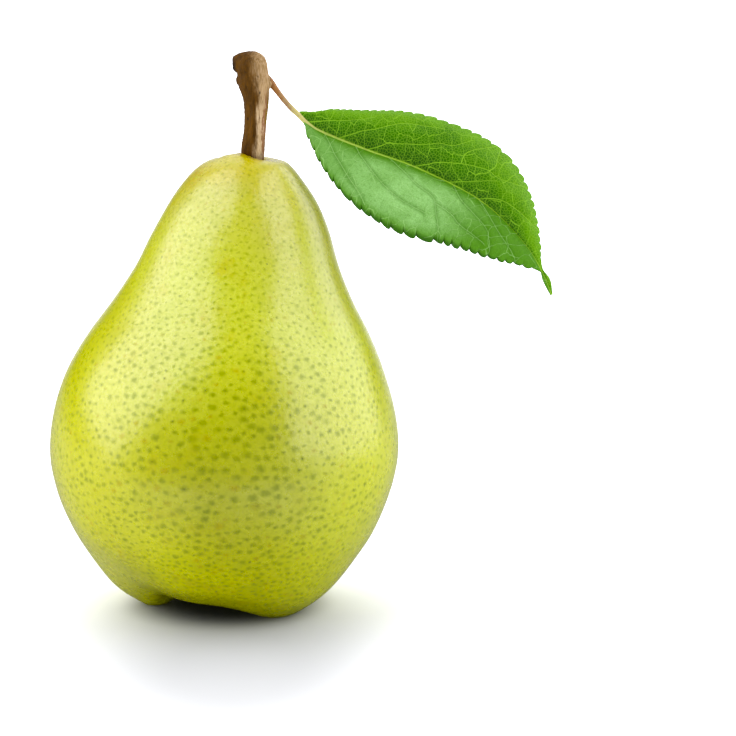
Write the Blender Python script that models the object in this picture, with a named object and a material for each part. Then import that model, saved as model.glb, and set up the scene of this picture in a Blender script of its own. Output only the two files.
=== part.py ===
# A pear as picked: the fruit, its woody stem with one leaf, and the dried calyx under its foot.
# Metres, +Z up. The origin is the middle of the whole object's footprint, on the surface it stands on.

import math

import bmesh
import bpy
from mathutils import Matrix, Vector

MM = 0.001

# Clear space between two pieces that touch on the real pear
GAP = 0.3 * MM

# The fruit's axis stands left of the origin, because the leaf reaches out to the right
FRUIT_AXIS_X = -15.5 * MM

# Fruit: driving sizes
FRUIT_HEIGHT = 92.4 * MM
FRUIT_RADIUS = 35.75 * MM
FRUIT_STEPS = 64
FRUIT_STATIONS = 48
FOOT_CROWDING = 1.35

# Half outline of the skin as shares of FRUIT_RADIUS and FRUIT_HEIGHT, from the neck down to the ring that
# the fruit stands on, and on into the hollow of the calyx. The ring dips under the ground and is cut flat.
SKIN_OUTLINE = (
    (0.155, 0.998), (0.225, 0.992), (0.303, 0.966), (0.408, 0.909), (0.502, 0.833), (0.579, 0.758),
    (0.682, 0.682), (0.806, 0.606), (0.900, 0.530), (0.967, 0.444), (0.997, 0.357), (0.971, 0.281),
    (0.903, 0.206), (0.810, 0.134), (0.670, 0.054), (0.545, 0.014), (0.420, -0.006), (0.280, 0.017),
    (0.185, 0.048), (0.120, 0.072),
)
RING_RADIUS = 0.420 * FRUIT_RADIUS

# The neck leans to the right above this height
LEAN = 4.7 * MM
LEAN_START = 43 * MM

# The neck's right shoulder is the lower one: how far right of its middle and how high that is fully so
SHOULDER_DROP = 0.6 * MM
SHOULDER_REACH = 10 * MM
SHOULDER_START = 75 * MM
SHOULDER_RISE = 12 * MM

# Slight unevenness of the round cross-section, as shares of the radius
TWO_FOLD = 0.010
THREE_FOLD = 0.008

# Lobes of the foot: compass angle, half width in degrees, how far it swells outward, share of full depth
LOBES = (
    (-37, 50, 0.0 * MM, 1.0),
    (-114, 25, 0.1 * MM, 0.2),
    (180, 29, -0.6 * MM, 1.0),
    (110, 34, 0.8 * MM, 1.0),
    (45, 34, 0.8 * MM, 1.0),
)
GROOVE_DEPTH = 6.3 * MM
LOBE_HEIGHT = 21.8 * MM

# Fleshy lip in front of the stem, on the neck's left. Nothing below its foot is raised.
LIP_FOOT = 87 * MM
LIP_HEIGHT = 1.5 * MM
LIP_SPREAD = 3.4 * MM
LIP_PLACE = Vector((FRUIT_AXIS_X + 3.4 * MM, -2.4 * MM))

# Hollow of the neck that the stem stands in: its radius and the heights up its wall to its rounded rim
HOLLOW_RADIUS = 2.75 * MM
HOLLOW_FLOOR = 85.0 * MM
HOLLOW_WALL = (89.0 * MM, 91.4 * MM)
HOLLOW_RIM = 91.9 * MM
RIM_ROUNDING = 0.5 * MM

# How far round the hollow the neck is drawn over to the stem's foot
STEM_FOOT_X = 6.1 * MM
STEM_FOOT_REACH = 9 * MM

# Stem: the height of each station, its centre's distance from the fruit's axis and its radius, all in
# millimetres
STEM_STATIONS = (
    (85.6, 6.1, 2.05), (89.5, 6.1, 2.25), (93.5, 6.1, 2.35), (96.9, 6.5, 2.25), (99.8, 6.8, 2.25),
    (102.4, 6.9, 2.40), (104.6, 6.8, 2.65), (106.3, 6.6, 2.95), (107.9, 6.35, 3.20), (109.4, 6.25, 3.10),
    (110.8, 6.0, 3.25), (112.1, 5.95, 2.90), (113.1, 5.95, 2.05), (113.6, 5.95, 0.90),
)
STEM_SIDES = 16
STEM_RIDGES = 5
STEM_RIDGE_DEPTH = 0.05
BRANCH_SIDES = 14

# Scar where the stem left the tree, and the knot under it, on the left of the stem's thick end
SCAR_PATH = (
    (5.6, 0.1, 110.6), (4.2, 0.0, 110.8), (3.3, -0.1, 111.0), (2.65, -0.2, 111.1), (2.35, -0.2, 111.1),
)
SCAR_RADII = (2.75, 2.55, 2.2, 1.6, 0.9)
KNOT_PATH = ((5.0, -0.1, 107.8), (4.0, -0.2, 107.8), (3.4, -0.2, 107.75), (3.0, -0.2, 107.7))
KNOT_RADII = (2.2, 1.6, 1.1, 0.5)

# Spur on the right of the stem, which the leaf's stalk grows from
SPUR_PATH = ((7.3, 0.0, 110.0), (8.5, 0.0, 108.9), (9.4, -0.1, 108.0), (10.05, -0.2, 107.25))
SPUR_RADII = (1.7, 1.4, 1.08, 0.8)

# Leaf stalk, from the spur to the blade, and the blade's midrib, which droops to the right
STALK_PATH = ((10.2, -0.2, 107.05), (11.9, -0.5, 104.5), (13.6, -0.8, 102.5))
MIDRIB_PATH = (
    (15.3, -1.0, 101.1), (17.5, -1.3, 99.0), (20.2, -1.6, 97.4), (28.9, -2.4, 94.0), (39.2, -3.3, 90.4),
    (51.9, -4.4, 84.0), (60.3, -5.2, 76.0), (64.2, -5.6, 70.0), (66.2, -5.8, 65.2),
)

# The stalk thins to the midrib over this share of their length, and the midrib on to its end, where it
# sinks into the blade at this share of the blade
STALK_RADIUS = 0.72 * MM
STALK_TAPER = 0.2
MIDRIB_RADIUS = 0.60 * MM
MIDRIB_END_RADIUS = 0.30 * MM
MIDRIB_END = 0.84
MIDRIB_SINK = 0.22 * MM
STALK_SIDES = 8
STALK_STATIONS = 34

# Blade: share of its length, then half width on the far side and on the near side in millimetres
BLADE_WIDTHS = (
    (0.00, 0.6, 0.6), (0.06, 4.5, 1.6), (0.15, 7.1, 8.5), (0.30, 10.6, 14.6), (0.45, 12.1, 15.8),
    (0.60, 11.8, 12.9), (0.75, 6.8, 8.7), (0.87, 1.5, 2.9), (0.93, 0.6, 0.6), (0.96, 0.8, 0.8),
    (1.00, 0.3, 0.3),
)
BLADE_THICKNESS = 0.7 * MM

# How steeply each half of the blade faces up, in degrees above the horizontal, and the share of its width
# by which it arches up, so that the blade is folded along its midrib
FAR_FACING = 34
NEAR_FACING = 48
FAR_ARCH = 0.17
NEAR_ARCH = 0.12

# The blade's cross lines run forward to the edge as its side veins do
BLADE_SWEEP = 0.5
BLADE_ROWS_ACROSS = 10

# Teeth of the margin: how many each side, how far they stand out and lean forward, the half width under
# which they fade away, the share of the blade where they end and the rows of the plain tip after them
TEETH = 28
TOOTH_DEPTH = 0.7 * MM
TOOTH_LEAN = 0.6 * MM
TOOTH_FADE = 4 * MM
TEETH_END = 0.92
TIP_ROWS = 8

# Calyx: a dried cup with its root in the fruit's socket
CALYX_ROOT_RADIUS = 2.6 * MM
CALYX_ROOT_TOP = 8.6 * MM
CALYX_ROOT_FOOT = 6.9 * MM
CALYX_CUP_TOP = 6.0 * MM
CALYX_CUP_WALL = 0.7 * MM
CALYX_CUP_DEPTH = 0.9 * MM
SOCKET_TOP = 9.0 * MM
SOCKET_RIM = 7.2 * MM

# Sepals curl out and down in steps: reach and rise in millimetres, and the share of width and of
# thickness that is kept
SEPALS = 5
SEPAL_STEPS = ((1.3, -1.2, 0.86, 0.94), (1.1, -1.0, 0.62, 0.85), (0.9, -0.4, 0.30, 0.72))
SEPAL_THICKNESS = 0.8 * MM


def millimetres(*values):
    """A point given in millimetres from the foot of the fruit's axis."""
    point = Vector(values) * MM
    point.x += FRUIT_AXIS_X
    return point


def ease(value):
    """0 below 0, 1 above 1, and a smooth step between."""
    value = min(1.0, max(0.0, value))
    return value * value * (3.0 - 2.0 * value)


def curve_through(points, count, crowding=1.0):
    """Points along a smooth curve through the given ones, at even steps or crowded towards its end."""
    knots = [Vector(point) for point in points]
    ends = [2 * knots[0] - knots[1]] + knots + [2 * knots[-1] - knots[-2]]
    fine = []
    for before, start, end, after in zip(ends, ends[1:], ends[2:], ends[3:]):
        for step in range(24):
            t = step / 24
            fine.append(0.5 * (2 * start + (end - before) * t
                               + (2 * before - 5 * start + 4 * end - after) * t ** 2
                               + (3 * start - before - 3 * end + after) * t ** 3))
    fine.append(knots[-1])
    lengths = [0.0]
    for here, there in zip(fine, fine[1:]):
        lengths.append(lengths[-1] + (there - here).length)
    result = []
    index = 0
    for step in range(count):
        target = lengths[-1] * (1.0 - (1.0 - step / (count - 1)) ** crowding)
        while index < len(fine) - 2 and lengths[index + 1] < target:
            index += 1
        share = (target - lengths[index]) / (lengths[index + 1] - lengths[index])
        result.append(fine[index].lerp(fine[index + 1], min(1.0, share)))
    return result


def point_at(line, share):
    """The point at a share of the length of an evenly stepped line."""
    place = min(1.0, max(0.0, share)) * (len(line) - 1)
    low = min(len(line) - 2, int(place))
    return line[low].lerp(line[low + 1], place - low)


def table_value(table, share, column):
    """A column of a table at a share of the length, on a smooth line through its rows."""
    last = len(table) - 1
    index = next(row for row in range(last) if share <= table[row + 1][0] or row == last - 1)

    def slope(row):
        low, high = table[max(row - 1, 0)], table[min(row + 1, last)]
        return (high[column] - low[column]) / (high[0] - low[0])

    low, high = table[index], table[index + 1]
    span = high[0] - low[0]
    t = min(1.0, (share - low[0]) / span)
    return ((2 * t ** 3 - 3 * t ** 2 + 1) * low[column] + (t ** 3 - 2 * t ** 2 + t) * span * slope(index)
            + (3 * t ** 2 - 2 * t ** 3) * high[column] + (t ** 3 - t ** 2) * span * slope(index + 1))


def make_material(name, colour, roughness):
    """A Principled BSDF with one colour and roughness."""
    material = bpy.data.materials.new(name)
    material.use_nodes = True
    shader = material.node_tree.nodes["Principled BSDF"]
    shader.inputs["Base Color"].default_value = (*colour, 1.0)
    shader.inputs["Roughness"].default_value = roughness
    shader.inputs["Metallic"].default_value = 0.0
    material.diffuse_color = (*colour, 1.0)
    return material


def make_object(name, bm, material):
    """An object in the scene from a bmesh, shaded smooth."""
    mesh = bpy.data.meshes.new(name)
    bm.to_mesh(mesh)
    bm.free()
    mesh.shade_smooth()
    mesh.materials.append(material)
    obj = bpy.data.objects.new(name, mesh)
    bpy.context.collection.objects.link(obj)
    return obj


def fuse(base, extras):
    """Join the extras into the base as one body, and remove them."""
    for extra in extras:
        join = base.modifiers.new(extra.name, "BOOLEAN")
        join.operation = "UNION"
        join.solver = "EXACT"
        join.object = extra
    evaluated = base.evaluated_get(bpy.context.evaluated_depsgraph_get())
    joined = bpy.data.meshes.new_from_object(evaluated)
    base.modifiers.clear()
    base.data = joined
    for extra in extras:
        bpy.data.objects.remove(extra)
    joined.shade_smooth()
    return base


def draw_out(bm, face, keep=False):
    """Extrude a face and return the new one. The old one goes, unless it closes the other end."""
    made = bmesh.ops.extrude_face_region(bm, geom=[face])
    if not keep:
        bmesh.ops.delete(bm, geom=[face], context="FACES_ONLY")
    return next(item for item in made["geom"] if isinstance(item, bmesh.types.BMFace))


def sweep(points, radii, sides, ridges=0, ridge_depth=0.0):
    """A closed tube along the points, one radius at each, made by extruding a round face."""
    bm = bmesh.new()
    bmesh.ops.create_circle(bm, cap_ends=True, radius=1.0, segments=sides)
    for vert in bm.verts:
        angle = math.atan2(vert.co.y, vert.co.x)
        vert.co *= 1.0 + ridge_depth * math.cos(ridges * angle)
    places = []
    turn = Matrix.Identity(3)
    for index, point in enumerate(points):
        along = points[min(index + 1, len(points) - 1)] - points[max(index - 1, 0)]
        turn = (turn @ Vector((0, 0, 1))).rotation_difference(along).to_matrix() @ turn
        size = Matrix.Diagonal((radii[index], radii[index], radii[index])).to_4x4()
        places.append(Matrix.Translation(point) @ turn.to_4x4() @ size)
    bmesh.ops.transform(bm, matrix=places[0], verts=bm.verts)
    face = bm.faces[:][0]
    for here, there in zip(places, places[1:]):
        face = draw_out(bm, face, keep=here is places[0])
        bmesh.ops.transform(bm, matrix=there @ here.inverted(), verts=face.verts)
    bmesh.ops.recalc_face_normals(bm, faces=bm.faces)
    return bm


def lobe_shape(angle):
    """How far the foot swells out at an angle, and how far it is raised off the ground there."""
    swell = 0.0
    depth = 0.0
    for compass, width, reach, share in LOBES:
        off = (math.degrees(angle) - compass + 180) % 360 - 180
        near = math.exp(-(off / width) ** 2)
        swell += reach * near
        depth += share * near
    return swell, GROOVE_DEPTH * (1.0 - min(1.0, depth))


def shape_neck_point(point, radius):
    """Lean the neck, draw its top over to the stem's foot, and shape its lower shoulder and its lip."""
    height = point.z
    lean = LEAN * ease((height - LEAN_START) / (FRUIT_HEIGHT - LEAN_START))
    by_stem = 1.0 - ease((radius - HOLLOW_RADIUS) / STEM_FOOT_REACH)
    point.x += lean + (STEM_FOOT_X - lean) * by_stem
    right = ease((point.x - FRUIT_AXIS_X - LEAN) / SHOULDER_REACH)
    point.z -= SHOULDER_DROP * right * ease((height - SHOULDER_START) / SHOULDER_RISE)
    if height > LIP_FOOT:
        away = (point.xy - LIP_PLACE).length / LIP_SPREAD
        point.z += LIP_HEIGHT * math.exp(-away ** 2)


def shape_fruit_point(point):
    """Move a point of the turned fruit to its place on the real, uneven one."""
    radius = point.xy.length
    angle = math.atan2(point.y, point.x)
    height = point.z
    outer = ease(radius / RING_RADIUS)
    low = outer * (1.0 - ease(height / LOBE_HEIGHT))
    swell, lift = lobe_shape(angle)
    uneven = TWO_FOLD * math.sin(2 * angle) + THREE_FOLD * math.sin(3 * angle)
    radius = radius * (1.0 + uneven * outer) + swell * low
    point.x = radius * math.cos(angle) + FRUIT_AXIS_X
    point.y = radius * math.sin(angle)
    point.z = max(0.0, height + lift * low)
    if height > LEAN_START:
        shape_neck_point(point, radius)


def build_fruit(material):
    """The whole fruit, turned from its half outline and then shaped."""
    outline = [(0.0, HOLLOW_FLOOR), (HOLLOW_RADIUS, HOLLOW_FLOOR)]
    outline += [(HOLLOW_RADIUS, height) for height in HOLLOW_WALL]
    outline.append((HOLLOW_RADIUS + RIM_ROUNDING, HOLLOW_RIM))
    knots = [(share * FRUIT_RADIUS, height * FRUIT_HEIGHT, 0.0) for share, height in SKIN_OUTLINE]
    outline += [point.xy for point in curve_through(knots, FRUIT_STATIONS, FOOT_CROWDING)]
    socket = CALYX_ROOT_RADIUS + GAP
    outline += [(socket, SOCKET_RIM), (socket, SOCKET_TOP), (0.0, SOCKET_TOP)]
    bm = bmesh.new()
    verts = [bm.verts.new((radius, 0.0, height)) for radius, height in outline]
    edges = [bm.edges.new(pair) for pair in zip(verts, verts[1:])]
    bmesh.ops.spin(bm, geom=verts + edges, axis=(0, 0, 1), cent=(0, 0, 0), steps=FRUIT_STEPS,
                   angle=2 * math.pi, use_merge=True)
    bmesh.ops.remove_doubles(bm, verts=bm.verts, dist=0.001 * MM)
    bmesh.ops.recalc_face_normals(bm, faces=bm.faces)
    for vert in bm.verts:
        shape_fruit_point(vert.co)
    return make_object("fruit", bm, material)


def build_stem(material):
    """The woody stem, sunk in the neck's hollow, with its scar, knot and spur."""
    path = [millimetres(across, 0.0, height) for height, across, radius in STEM_STATIONS]
    radii = [radius * MM for height, across, radius in STEM_STATIONS]
    stem = make_object("stem", sweep(path, radii, STEM_SIDES, STEM_RIDGES, STEM_RIDGE_DEPTH), material)
    extras = []
    for name, places, sizes in (("scar", SCAR_PATH, SCAR_RADII), ("knot", KNOT_PATH, KNOT_RADII),
                                ("spur", SPUR_PATH, SPUR_RADII)):
        path = [millimetres(*place) for place in places]
        radii = [size * MM for size in sizes]
        extras.append(make_object(name, sweep(path, radii, BRANCH_SIDES), material))
    return fuse(stem, extras)


def blade_axes(midrib, share, side):
    """Along the midrib, out across the far (+1) or near (-1) half of the blade, and up from that half."""
    along = (point_at(midrib, share + 0.01) - point_at(midrib, share - 0.01)).normalized()
    facing = math.radians(FAR_FACING if side > 0 else NEAR_FACING)
    across = Vector((0, -math.cos(facing), math.sin(facing))).cross(along).normalized()
    return along, across * side, along.cross(across)


def blade_point(midrib, share, place, tooth):
    """A point of the blade's middle layer. Its place runs from -1 on the near margin to 1 on the far one."""
    side = 1 if place >= 0 else -1
    out = abs(place)
    along, across, up = blade_axes(midrib, share, side)
    half = table_value(BLADE_WIDTHS, share, 1 if side > 0 else 2) * MM
    tooth *= ease(half / TOOTH_FADE)
    margin = point_at(midrib, share) + across * (half + tooth * TOOTH_DEPTH) + along * tooth * TOOTH_LEAN
    root = point_at(midrib, share - BLADE_SWEEP * share * (1.0 - share))
    arch = half * (FAR_ARCH if side > 0 else NEAR_ARCH)
    return root.lerp(margin, out) + up * arch * 4 * out * (1.0 - out)


def build_midrib(midrib, material):
    """The stalk and the midrib, one tapering tube that runs along the blade's underside."""
    places = [millimetres(*place) for place in STALK_PATH]
    places += [point_at(midrib, MIDRIB_END * step / 16) for step in range(17)]
    path = curve_through(places, STALK_STATIONS)
    up = blade_axes(midrib, 0.5, 1)[2]
    radii = []
    for index, point in enumerate(path):
        share = index / (len(path) - 1)
        point -= up * MIDRIB_SINK * ease((share - STALK_TAPER / 2) / STALK_TAPER)
        thinned = max(0.0, share - STALK_TAPER) / (1.0 - STALK_TAPER)
        radii.append(STALK_RADIUS + (MIDRIB_RADIUS - STALK_RADIUS) * ease(share / STALK_TAPER)
                     + (MIDRIB_END_RADIUS - MIDRIB_RADIUS) * thinned)
    return make_object("midrib", sweep(path, radii, STALK_SIDES), material)


def build_leaf(material):
    """Stalk, midrib and toothed blade in one piece."""
    midrib = curve_through([millimetres(*place) for place in MIDRIB_PATH], 201)
    toothed = 2 * TEETH
    bm = bmesh.new()
    bmesh.ops.create_grid(bm, x_segments=toothed + TIP_ROWS, y_segments=BLADE_ROWS_ACROSS, size=1.0)
    for vert in bm.verts:
        row = round((vert.co.x + 1) / 2 * (toothed + TIP_ROWS))
        share = TEETH_END * min(1.0, row / toothed) + (1.0 - TEETH_END) * max(0, row - toothed) / TIP_ROWS
        on_margin = abs(vert.co.y) > 0.99
        tooth = 1.0 if on_margin and row < toothed and row % 2 else 0.0
        vert.co = blade_point(midrib, share, vert.co.y, tooth)
    bmesh.ops.triangulate(bm, faces=bm.faces, quad_method="FIXED")
    leaf = make_object("leaf", bm, material)
    wall = leaf.modifiers.new("thickness", "SOLIDIFY")
    wall.thickness = BLADE_THICKNESS
    wall.offset = 0.0
    return fuse(leaf, [build_midrib(midrib, material)])


def draw_out_sepal(bm, face):
    """Draw a side of the calyx's cup out into one curled, tapering sepal."""
    for reach, rise, width, thickness in SEPAL_STEPS:
        face = draw_out(bm, face)
        outward = face.calc_center_median()
        outward.z = 0.0
        outward.normalize()
        bmesh.ops.translate(bm, verts=face.verts, vec=outward * reach * MM + Vector((0, 0, rise * MM)))
        centre = face.calc_center_median()
        bmesh.ops.scale(bm, verts=face.verts, vec=(width, width, thickness),
                        space=Matrix.Translation(-centre))


def build_calyx(material):
    """The dried cup and its sepals, drawn out of a disc with two sides for each sepal."""
    bm = bmesh.new()
    bmesh.ops.create_circle(bm, cap_ends=True, radius=CALYX_ROOT_RADIUS, segments=2 * SEPALS)
    bmesh.ops.translate(bm, verts=bm.verts, vec=(0, 0, CALYX_ROOT_TOP))
    cap = bm.faces[:][0]
    for level in (CALYX_ROOT_FOOT, CALYX_CUP_TOP, CALYX_CUP_TOP - SEPAL_THICKNESS):
        cap = draw_out(bm, cap, keep=level == CALYX_ROOT_FOOT)
        bmesh.ops.translate(bm, verts=cap.verts, vec=(0, 0, level - cap.calc_center_median().z))
    bmesh.ops.recalc_face_normals(bm, faces=bm.faces)
    sides = [edge.link_faces[0] if edge.link_faces[1] is cap else edge.link_faces[1] for edge in cap.edges]
    for face in sides[::2]:
        draw_out_sepal(bm, face)
    bmesh.ops.inset_region(bm, faces=[cap], thickness=CALYX_CUP_WALL)
    bmesh.ops.translate(bm, verts=cap.verts, vec=(0, 0, CALYX_CUP_DEPTH))
    bmesh.ops.recalc_face_normals(bm, faces=bm.faces)
    bmesh.ops.translate(bm, verts=bm.verts, vec=(FRUIT_AXIS_X, 0, 0))
    return make_object("calyx", bm, material)


def main():
    for obj in list(bpy.data.objects):
        bpy.data.objects.remove(obj)
    build_fruit(make_material("pear skin", (0.55, 0.60, 0.07), 0.38))
    build_stem(make_material("stem bark", (0.17, 0.085, 0.03), 0.70))
    build_leaf(make_material("leaf green", (0.09, 0.30, 0.03), 0.45))
    build_calyx(make_material("dried calyx", (0.10, 0.06, 0.035), 0.85))


main()
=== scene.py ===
# Looks for the pear: dotted skin, woody stem, toothed leaf on its stalk and the dried calyx underneath.
# Every piece is modelled in millimetres from the foot of the fruit's own axis, then moved into the frame.

import bisect
import itertools
import math
import random

import bmesh
import bpy
from mathutils import Matrix, Vector, kdtree, noise


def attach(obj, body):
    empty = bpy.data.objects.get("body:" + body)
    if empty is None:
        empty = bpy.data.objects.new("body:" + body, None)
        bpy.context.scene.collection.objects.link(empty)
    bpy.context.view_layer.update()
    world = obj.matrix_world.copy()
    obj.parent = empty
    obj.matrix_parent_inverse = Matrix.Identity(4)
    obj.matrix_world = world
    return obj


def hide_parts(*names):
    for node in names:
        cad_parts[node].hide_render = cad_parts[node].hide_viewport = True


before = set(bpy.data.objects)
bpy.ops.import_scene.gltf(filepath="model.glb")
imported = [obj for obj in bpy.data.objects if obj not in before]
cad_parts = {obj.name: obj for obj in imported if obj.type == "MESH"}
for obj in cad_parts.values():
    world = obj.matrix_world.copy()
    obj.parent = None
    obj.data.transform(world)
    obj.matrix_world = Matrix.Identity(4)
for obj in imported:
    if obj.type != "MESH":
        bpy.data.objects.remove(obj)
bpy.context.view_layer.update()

mm = 0.001
axisX = -15.5  # the fruit's axis stands this far left of the frame's origin
intoFrame = Matrix.Scale(mm, 4) @ Matrix.Translation((axisX, 0, 0))
bodyName = "root"
mergeDistance = 0.001
nowhere = (0.0, 0.0, 0.0)


def colour(red, green, blue):
    # a colour as a picture shows it, 0 to 255, made linear for the shaders
    parts = [part / 255 for part in (red, green, blue)]
    linear = [part / 12.92 if part <= 0.04045 else ((part + 0.055) / 1.055) ** 2.4 for part in parts]
    return (*linear, 1.0)


def ease(value):
    value = min(1.0, max(0.0, value))
    return value * value * (3.0 - 2.0 * value)


def curveThrough(points, count, crowding=1.0):
    # points along a smooth curve through the given ones, at even steps or crowded towards its end
    knots = [Vector(point) for point in points]
    ends = [2 * knots[0] - knots[1]] + knots + [2 * knots[-1] - knots[-2]]
    fine = []
    for before, start, end, after in zip(ends, ends[1:], ends[2:], ends[3:]):
        for step in range(24):
            t = step / 24
            fine.append(0.5 * (2 * start + (end - before) * t
                               + (2 * before - 5 * start + 4 * end - after) * t ** 2
                               + (3 * start - before - 3 * end + after) * t ** 3))
    fine.append(knots[-1])
    lengths = [0.0]
    for here, there in zip(fine, fine[1:]):
        lengths.append(lengths[-1] + (there - here).length)
    result = []
    index = 0
    for step in range(count):
        target = lengths[-1] * (1.0 - (1.0 - step / (count - 1)) ** crowding)
        while index < len(fine) - 2 and lengths[index + 1] < target:
            index += 1
        share = (target - lengths[index]) / (lengths[index + 1] - lengths[index])
        result.append(fine[index].lerp(fine[index + 1], min(1.0, share)))
    return result


def pointAt(line, share):
    place = min(1.0, max(0.0, share)) * (len(line) - 1)
    low = min(len(line) - 2, int(place))
    return line[low].lerp(line[low + 1], place - low)


def tableValue(table, share, column):
    # a column of a table at a share of the length, on a smooth line through its rows
    last = len(table) - 1
    index = next(row for row in range(last) if share <= table[row + 1][0] or row == last - 1)

    def slope(row):
        low, high = table[max(row - 1, 0)], table[min(row + 1, last)]
        return (high[column] - low[column]) / (high[0] - low[0])

    low, high = table[index], table[index + 1]
    span = high[0] - low[0]
    t = min(1.0, (share - low[0]) / span)
    return ((2 * t ** 3 - 3 * t ** 2 + 1) * low[column] + (t ** 3 - 2 * t ** 2 + t) * span * slope(index)
            + (3 * t ** 2 - 2 * t ** 3) * high[column] + (t ** 3 - t ** 2) * span * slope(index + 1))


def ripple(point, size):
    # smooth noise from -1 to 1 with bumps about this many millimetres across
    return noise.noise(Vector(point) / size)


def closedGrid(bm, rows, sides, placeVert):
    # a grid rolled up into a tube, so that the faces come in the same order each run
    verts = bmesh.ops.create_grid(bm, x_segments=rows, y_segments=sides, size=1.0)["verts"]
    for vert in verts:
        angle = 2 * math.pi * round((vert.co.y + 1) / 2 * sides) / sides
        vert.co = placeVert(round((vert.co.x + 1) / 2 * rows), math.cos(angle), math.sin(angle))
    bmesh.ops.remove_doubles(bm, verts=verts, dist=mergeDistance)


def turnOutline(bm, outline, steps):
    # pairs of radius and height, once round the axis
    def placeVert(row, across, depth):
        radius, height = outline[row]
        return radius * across, radius * depth, height

    closedGrid(bm, len(outline) - 1, steps, placeVert)


def sweepTube(bm, points, radii, sides):
    # a closed tube along the points, one radius at each
    last = len(points) - 1
    turn = Matrix.Identity(3)
    turns = []
    for index in range(len(points)):
        along = points[min(index + 1, last)] - points[max(index - 1, 0)]
        turn = (turn @ Vector((0, 0, 1))).rotation_difference(along).to_matrix() @ turn
        turns.append(turn)

    def placeVert(row, across, depth):
        return points[row] + turns[row] @ Vector((-depth, across, 0.0)) * radii[row]

    closedGrid(bm, last, sides, placeVert)
    bmesh.ops.holes_fill(bm, edges=[edge for edge in bm.edges if edge.is_boundary], sides=sides)


def makePiece(name, bm, materials, node):
    bmesh.ops.transform(bm, matrix=intoFrame, verts=bm.verts)
    mesh = bpy.data.meshes.new(name)
    bm.to_mesh(mesh)
    bm.free()
    mesh.shade_smooth()
    for material in materials:
        mesh.materials.append(material)
    piece = bpy.data.objects.new(name, mesh)
    bpy.context.collection.objects.link(piece)
    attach(piece, bodyName)
    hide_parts(node)
    print(name, "has", len(mesh.polygons), "faces")
    return piece


def storeVectors(piece, name, domain, values):
    attribute = piece.data.attributes.new(name, "FLOAT_VECTOR", domain)
    attribute.data.foreach_set("vector", [number for value in values for number in value])


def searchTree(points):
    tree = kdtree.KDTree(len(points))
    for index, point in enumerate(points):
        tree.insert(point, index)
    tree.balance()
    return tree


# Shader helpers: each adds one node and hands back the socket that the next one needs

def newMaterial(name):
    material = bpy.data.materials.new(name)
    material.use_nodes = True
    return material, material.node_tree, material.node_tree.nodes["Principled BSDF"]


def fillInputs(tree, node, inputs):
    # a socket is linked, and anything else becomes the value
    for socket, value in inputs.items():
        if isinstance(value, bpy.types.NodeSocket):
            tree.links.new(value, node.inputs[socket])
        else:
            node.inputs[socket].default_value = value


def addNode(tree, kind, inputs, **settings):
    node = tree.nodes.new("ShaderNode" + kind)
    for name, value in settings.items():
        setattr(node, name, value)
    fillInputs(tree, node, inputs)
    return node


def objectPlace(tree, stretch=(1.0, 1.0, 1.0)):
    # millimetres from the foot of the fruit's axis
    where = addNode(tree, "TexCoord", {}).outputs["Object"]
    scale = [part / mm for part in stretch]
    return addNode(tree, "Mapping", {"Vector": where, "Location": (-axisX * stretch[0], 0, 0),
                                     "Scale": scale}).outputs["Vector"]


def attributeVector(tree, name):
    return addNode(tree, "Attribute", {}, attribute_name=name).outputs["Vector"]


def parts(tree, vector):
    return addNode(tree, "SeparateXYZ", {"Vector": vector}).outputs


def calculate(tree, operation, *values):
    # more than two values are taken one after the other
    result = values[0]
    for value in values[1:]:
        result = addNode(tree, "Math", {0: result, 1: value}, operation=operation).outputs[0]
    return result


def times(tree, *values):
    return calculate(tree, "MULTIPLY", *values)


def restOf(tree, value):
    # what is left of one
    return calculate(tree, "SUBTRACT", 1.0, value)


def absolute(tree, value):
    return addNode(tree, "Math", {0: value}, operation="ABSOLUTE").outputs[0]


def vectorMath(tree, operation, first, second):
    return addNode(tree, "VectorMath", {0: first, 1: second}, operation=operation).outputs[0]


def distance(tree, first, second=nowhere):
    return addNode(tree, "VectorMath", {0: first, 1: second}, operation="DISTANCE").outputs["Value"]


def scaled(tree, vector, factor):
    return addNode(tree, "VectorMath", {0: vector, "Scale": factor}, operation="SCALE").outputs[0]


def between(tree, value, fromLow, fromHigh, toLow=0.0, toHigh=1.0):
    # an eased step; fromLow above fromHigh turns it round
    return addNode(tree, "MapRange", {"Value": value, "From Min": fromLow, "From Max": fromHigh,
                                      "To Min": toLow, "To Max": toHigh},
                   interpolation_type="SMOOTHSTEP").outputs["Result"]


def mixColours(tree, share, first, second, blend="MIX"):
    return addNode(tree, "Mix", {0: share, 6: first, 7: second}, data_type="RGBA",
                   blend_type=blend).outputs[2]


def ramp(tree, value, stops):
    node = addNode(tree, "ValToRGB", {"Fac": value})
    elements = node.color_ramp.elements
    while len(elements) < len(stops):
        elements.new(0.5)
    for element, (position, shade) in zip(elements, stops):
        element.position = position
        element.color = shade
    return node.outputs["Color"]


def noiseAt(tree, place, scale, detail=3.0, roughness=0.5):
    return addNode(tree, "TexNoise", {"Vector": place, "Scale": scale, "Detail": detail,
                                      "Roughness": roughness}).outputs["Fac"]


def noiseShift(tree, place, scale, amount):
    # the place moved about a little, so that edges aren't clean
    node = addNode(tree, "TexNoise", {"Vector": place, "Scale": scale, "Detail": 2.0})
    centred = vectorMath(tree, "SUBTRACT", node.outputs["Color"], (0.5, 0.5, 0.5))
    return vectorMath(tree, "ADD", place, scaled(tree, centred, amount))


def laidOn(tree, base, values, layers, paint):
    # each layer is a colour and what its share is made of: values with their steps, multiplied
    for tint, *shares in layers:
        share = times(tree, *[between(tree, values[name], *steps) for name, *steps in shares])
        base = mixColours(tree, share, base, paint[tint])
    return base


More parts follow.
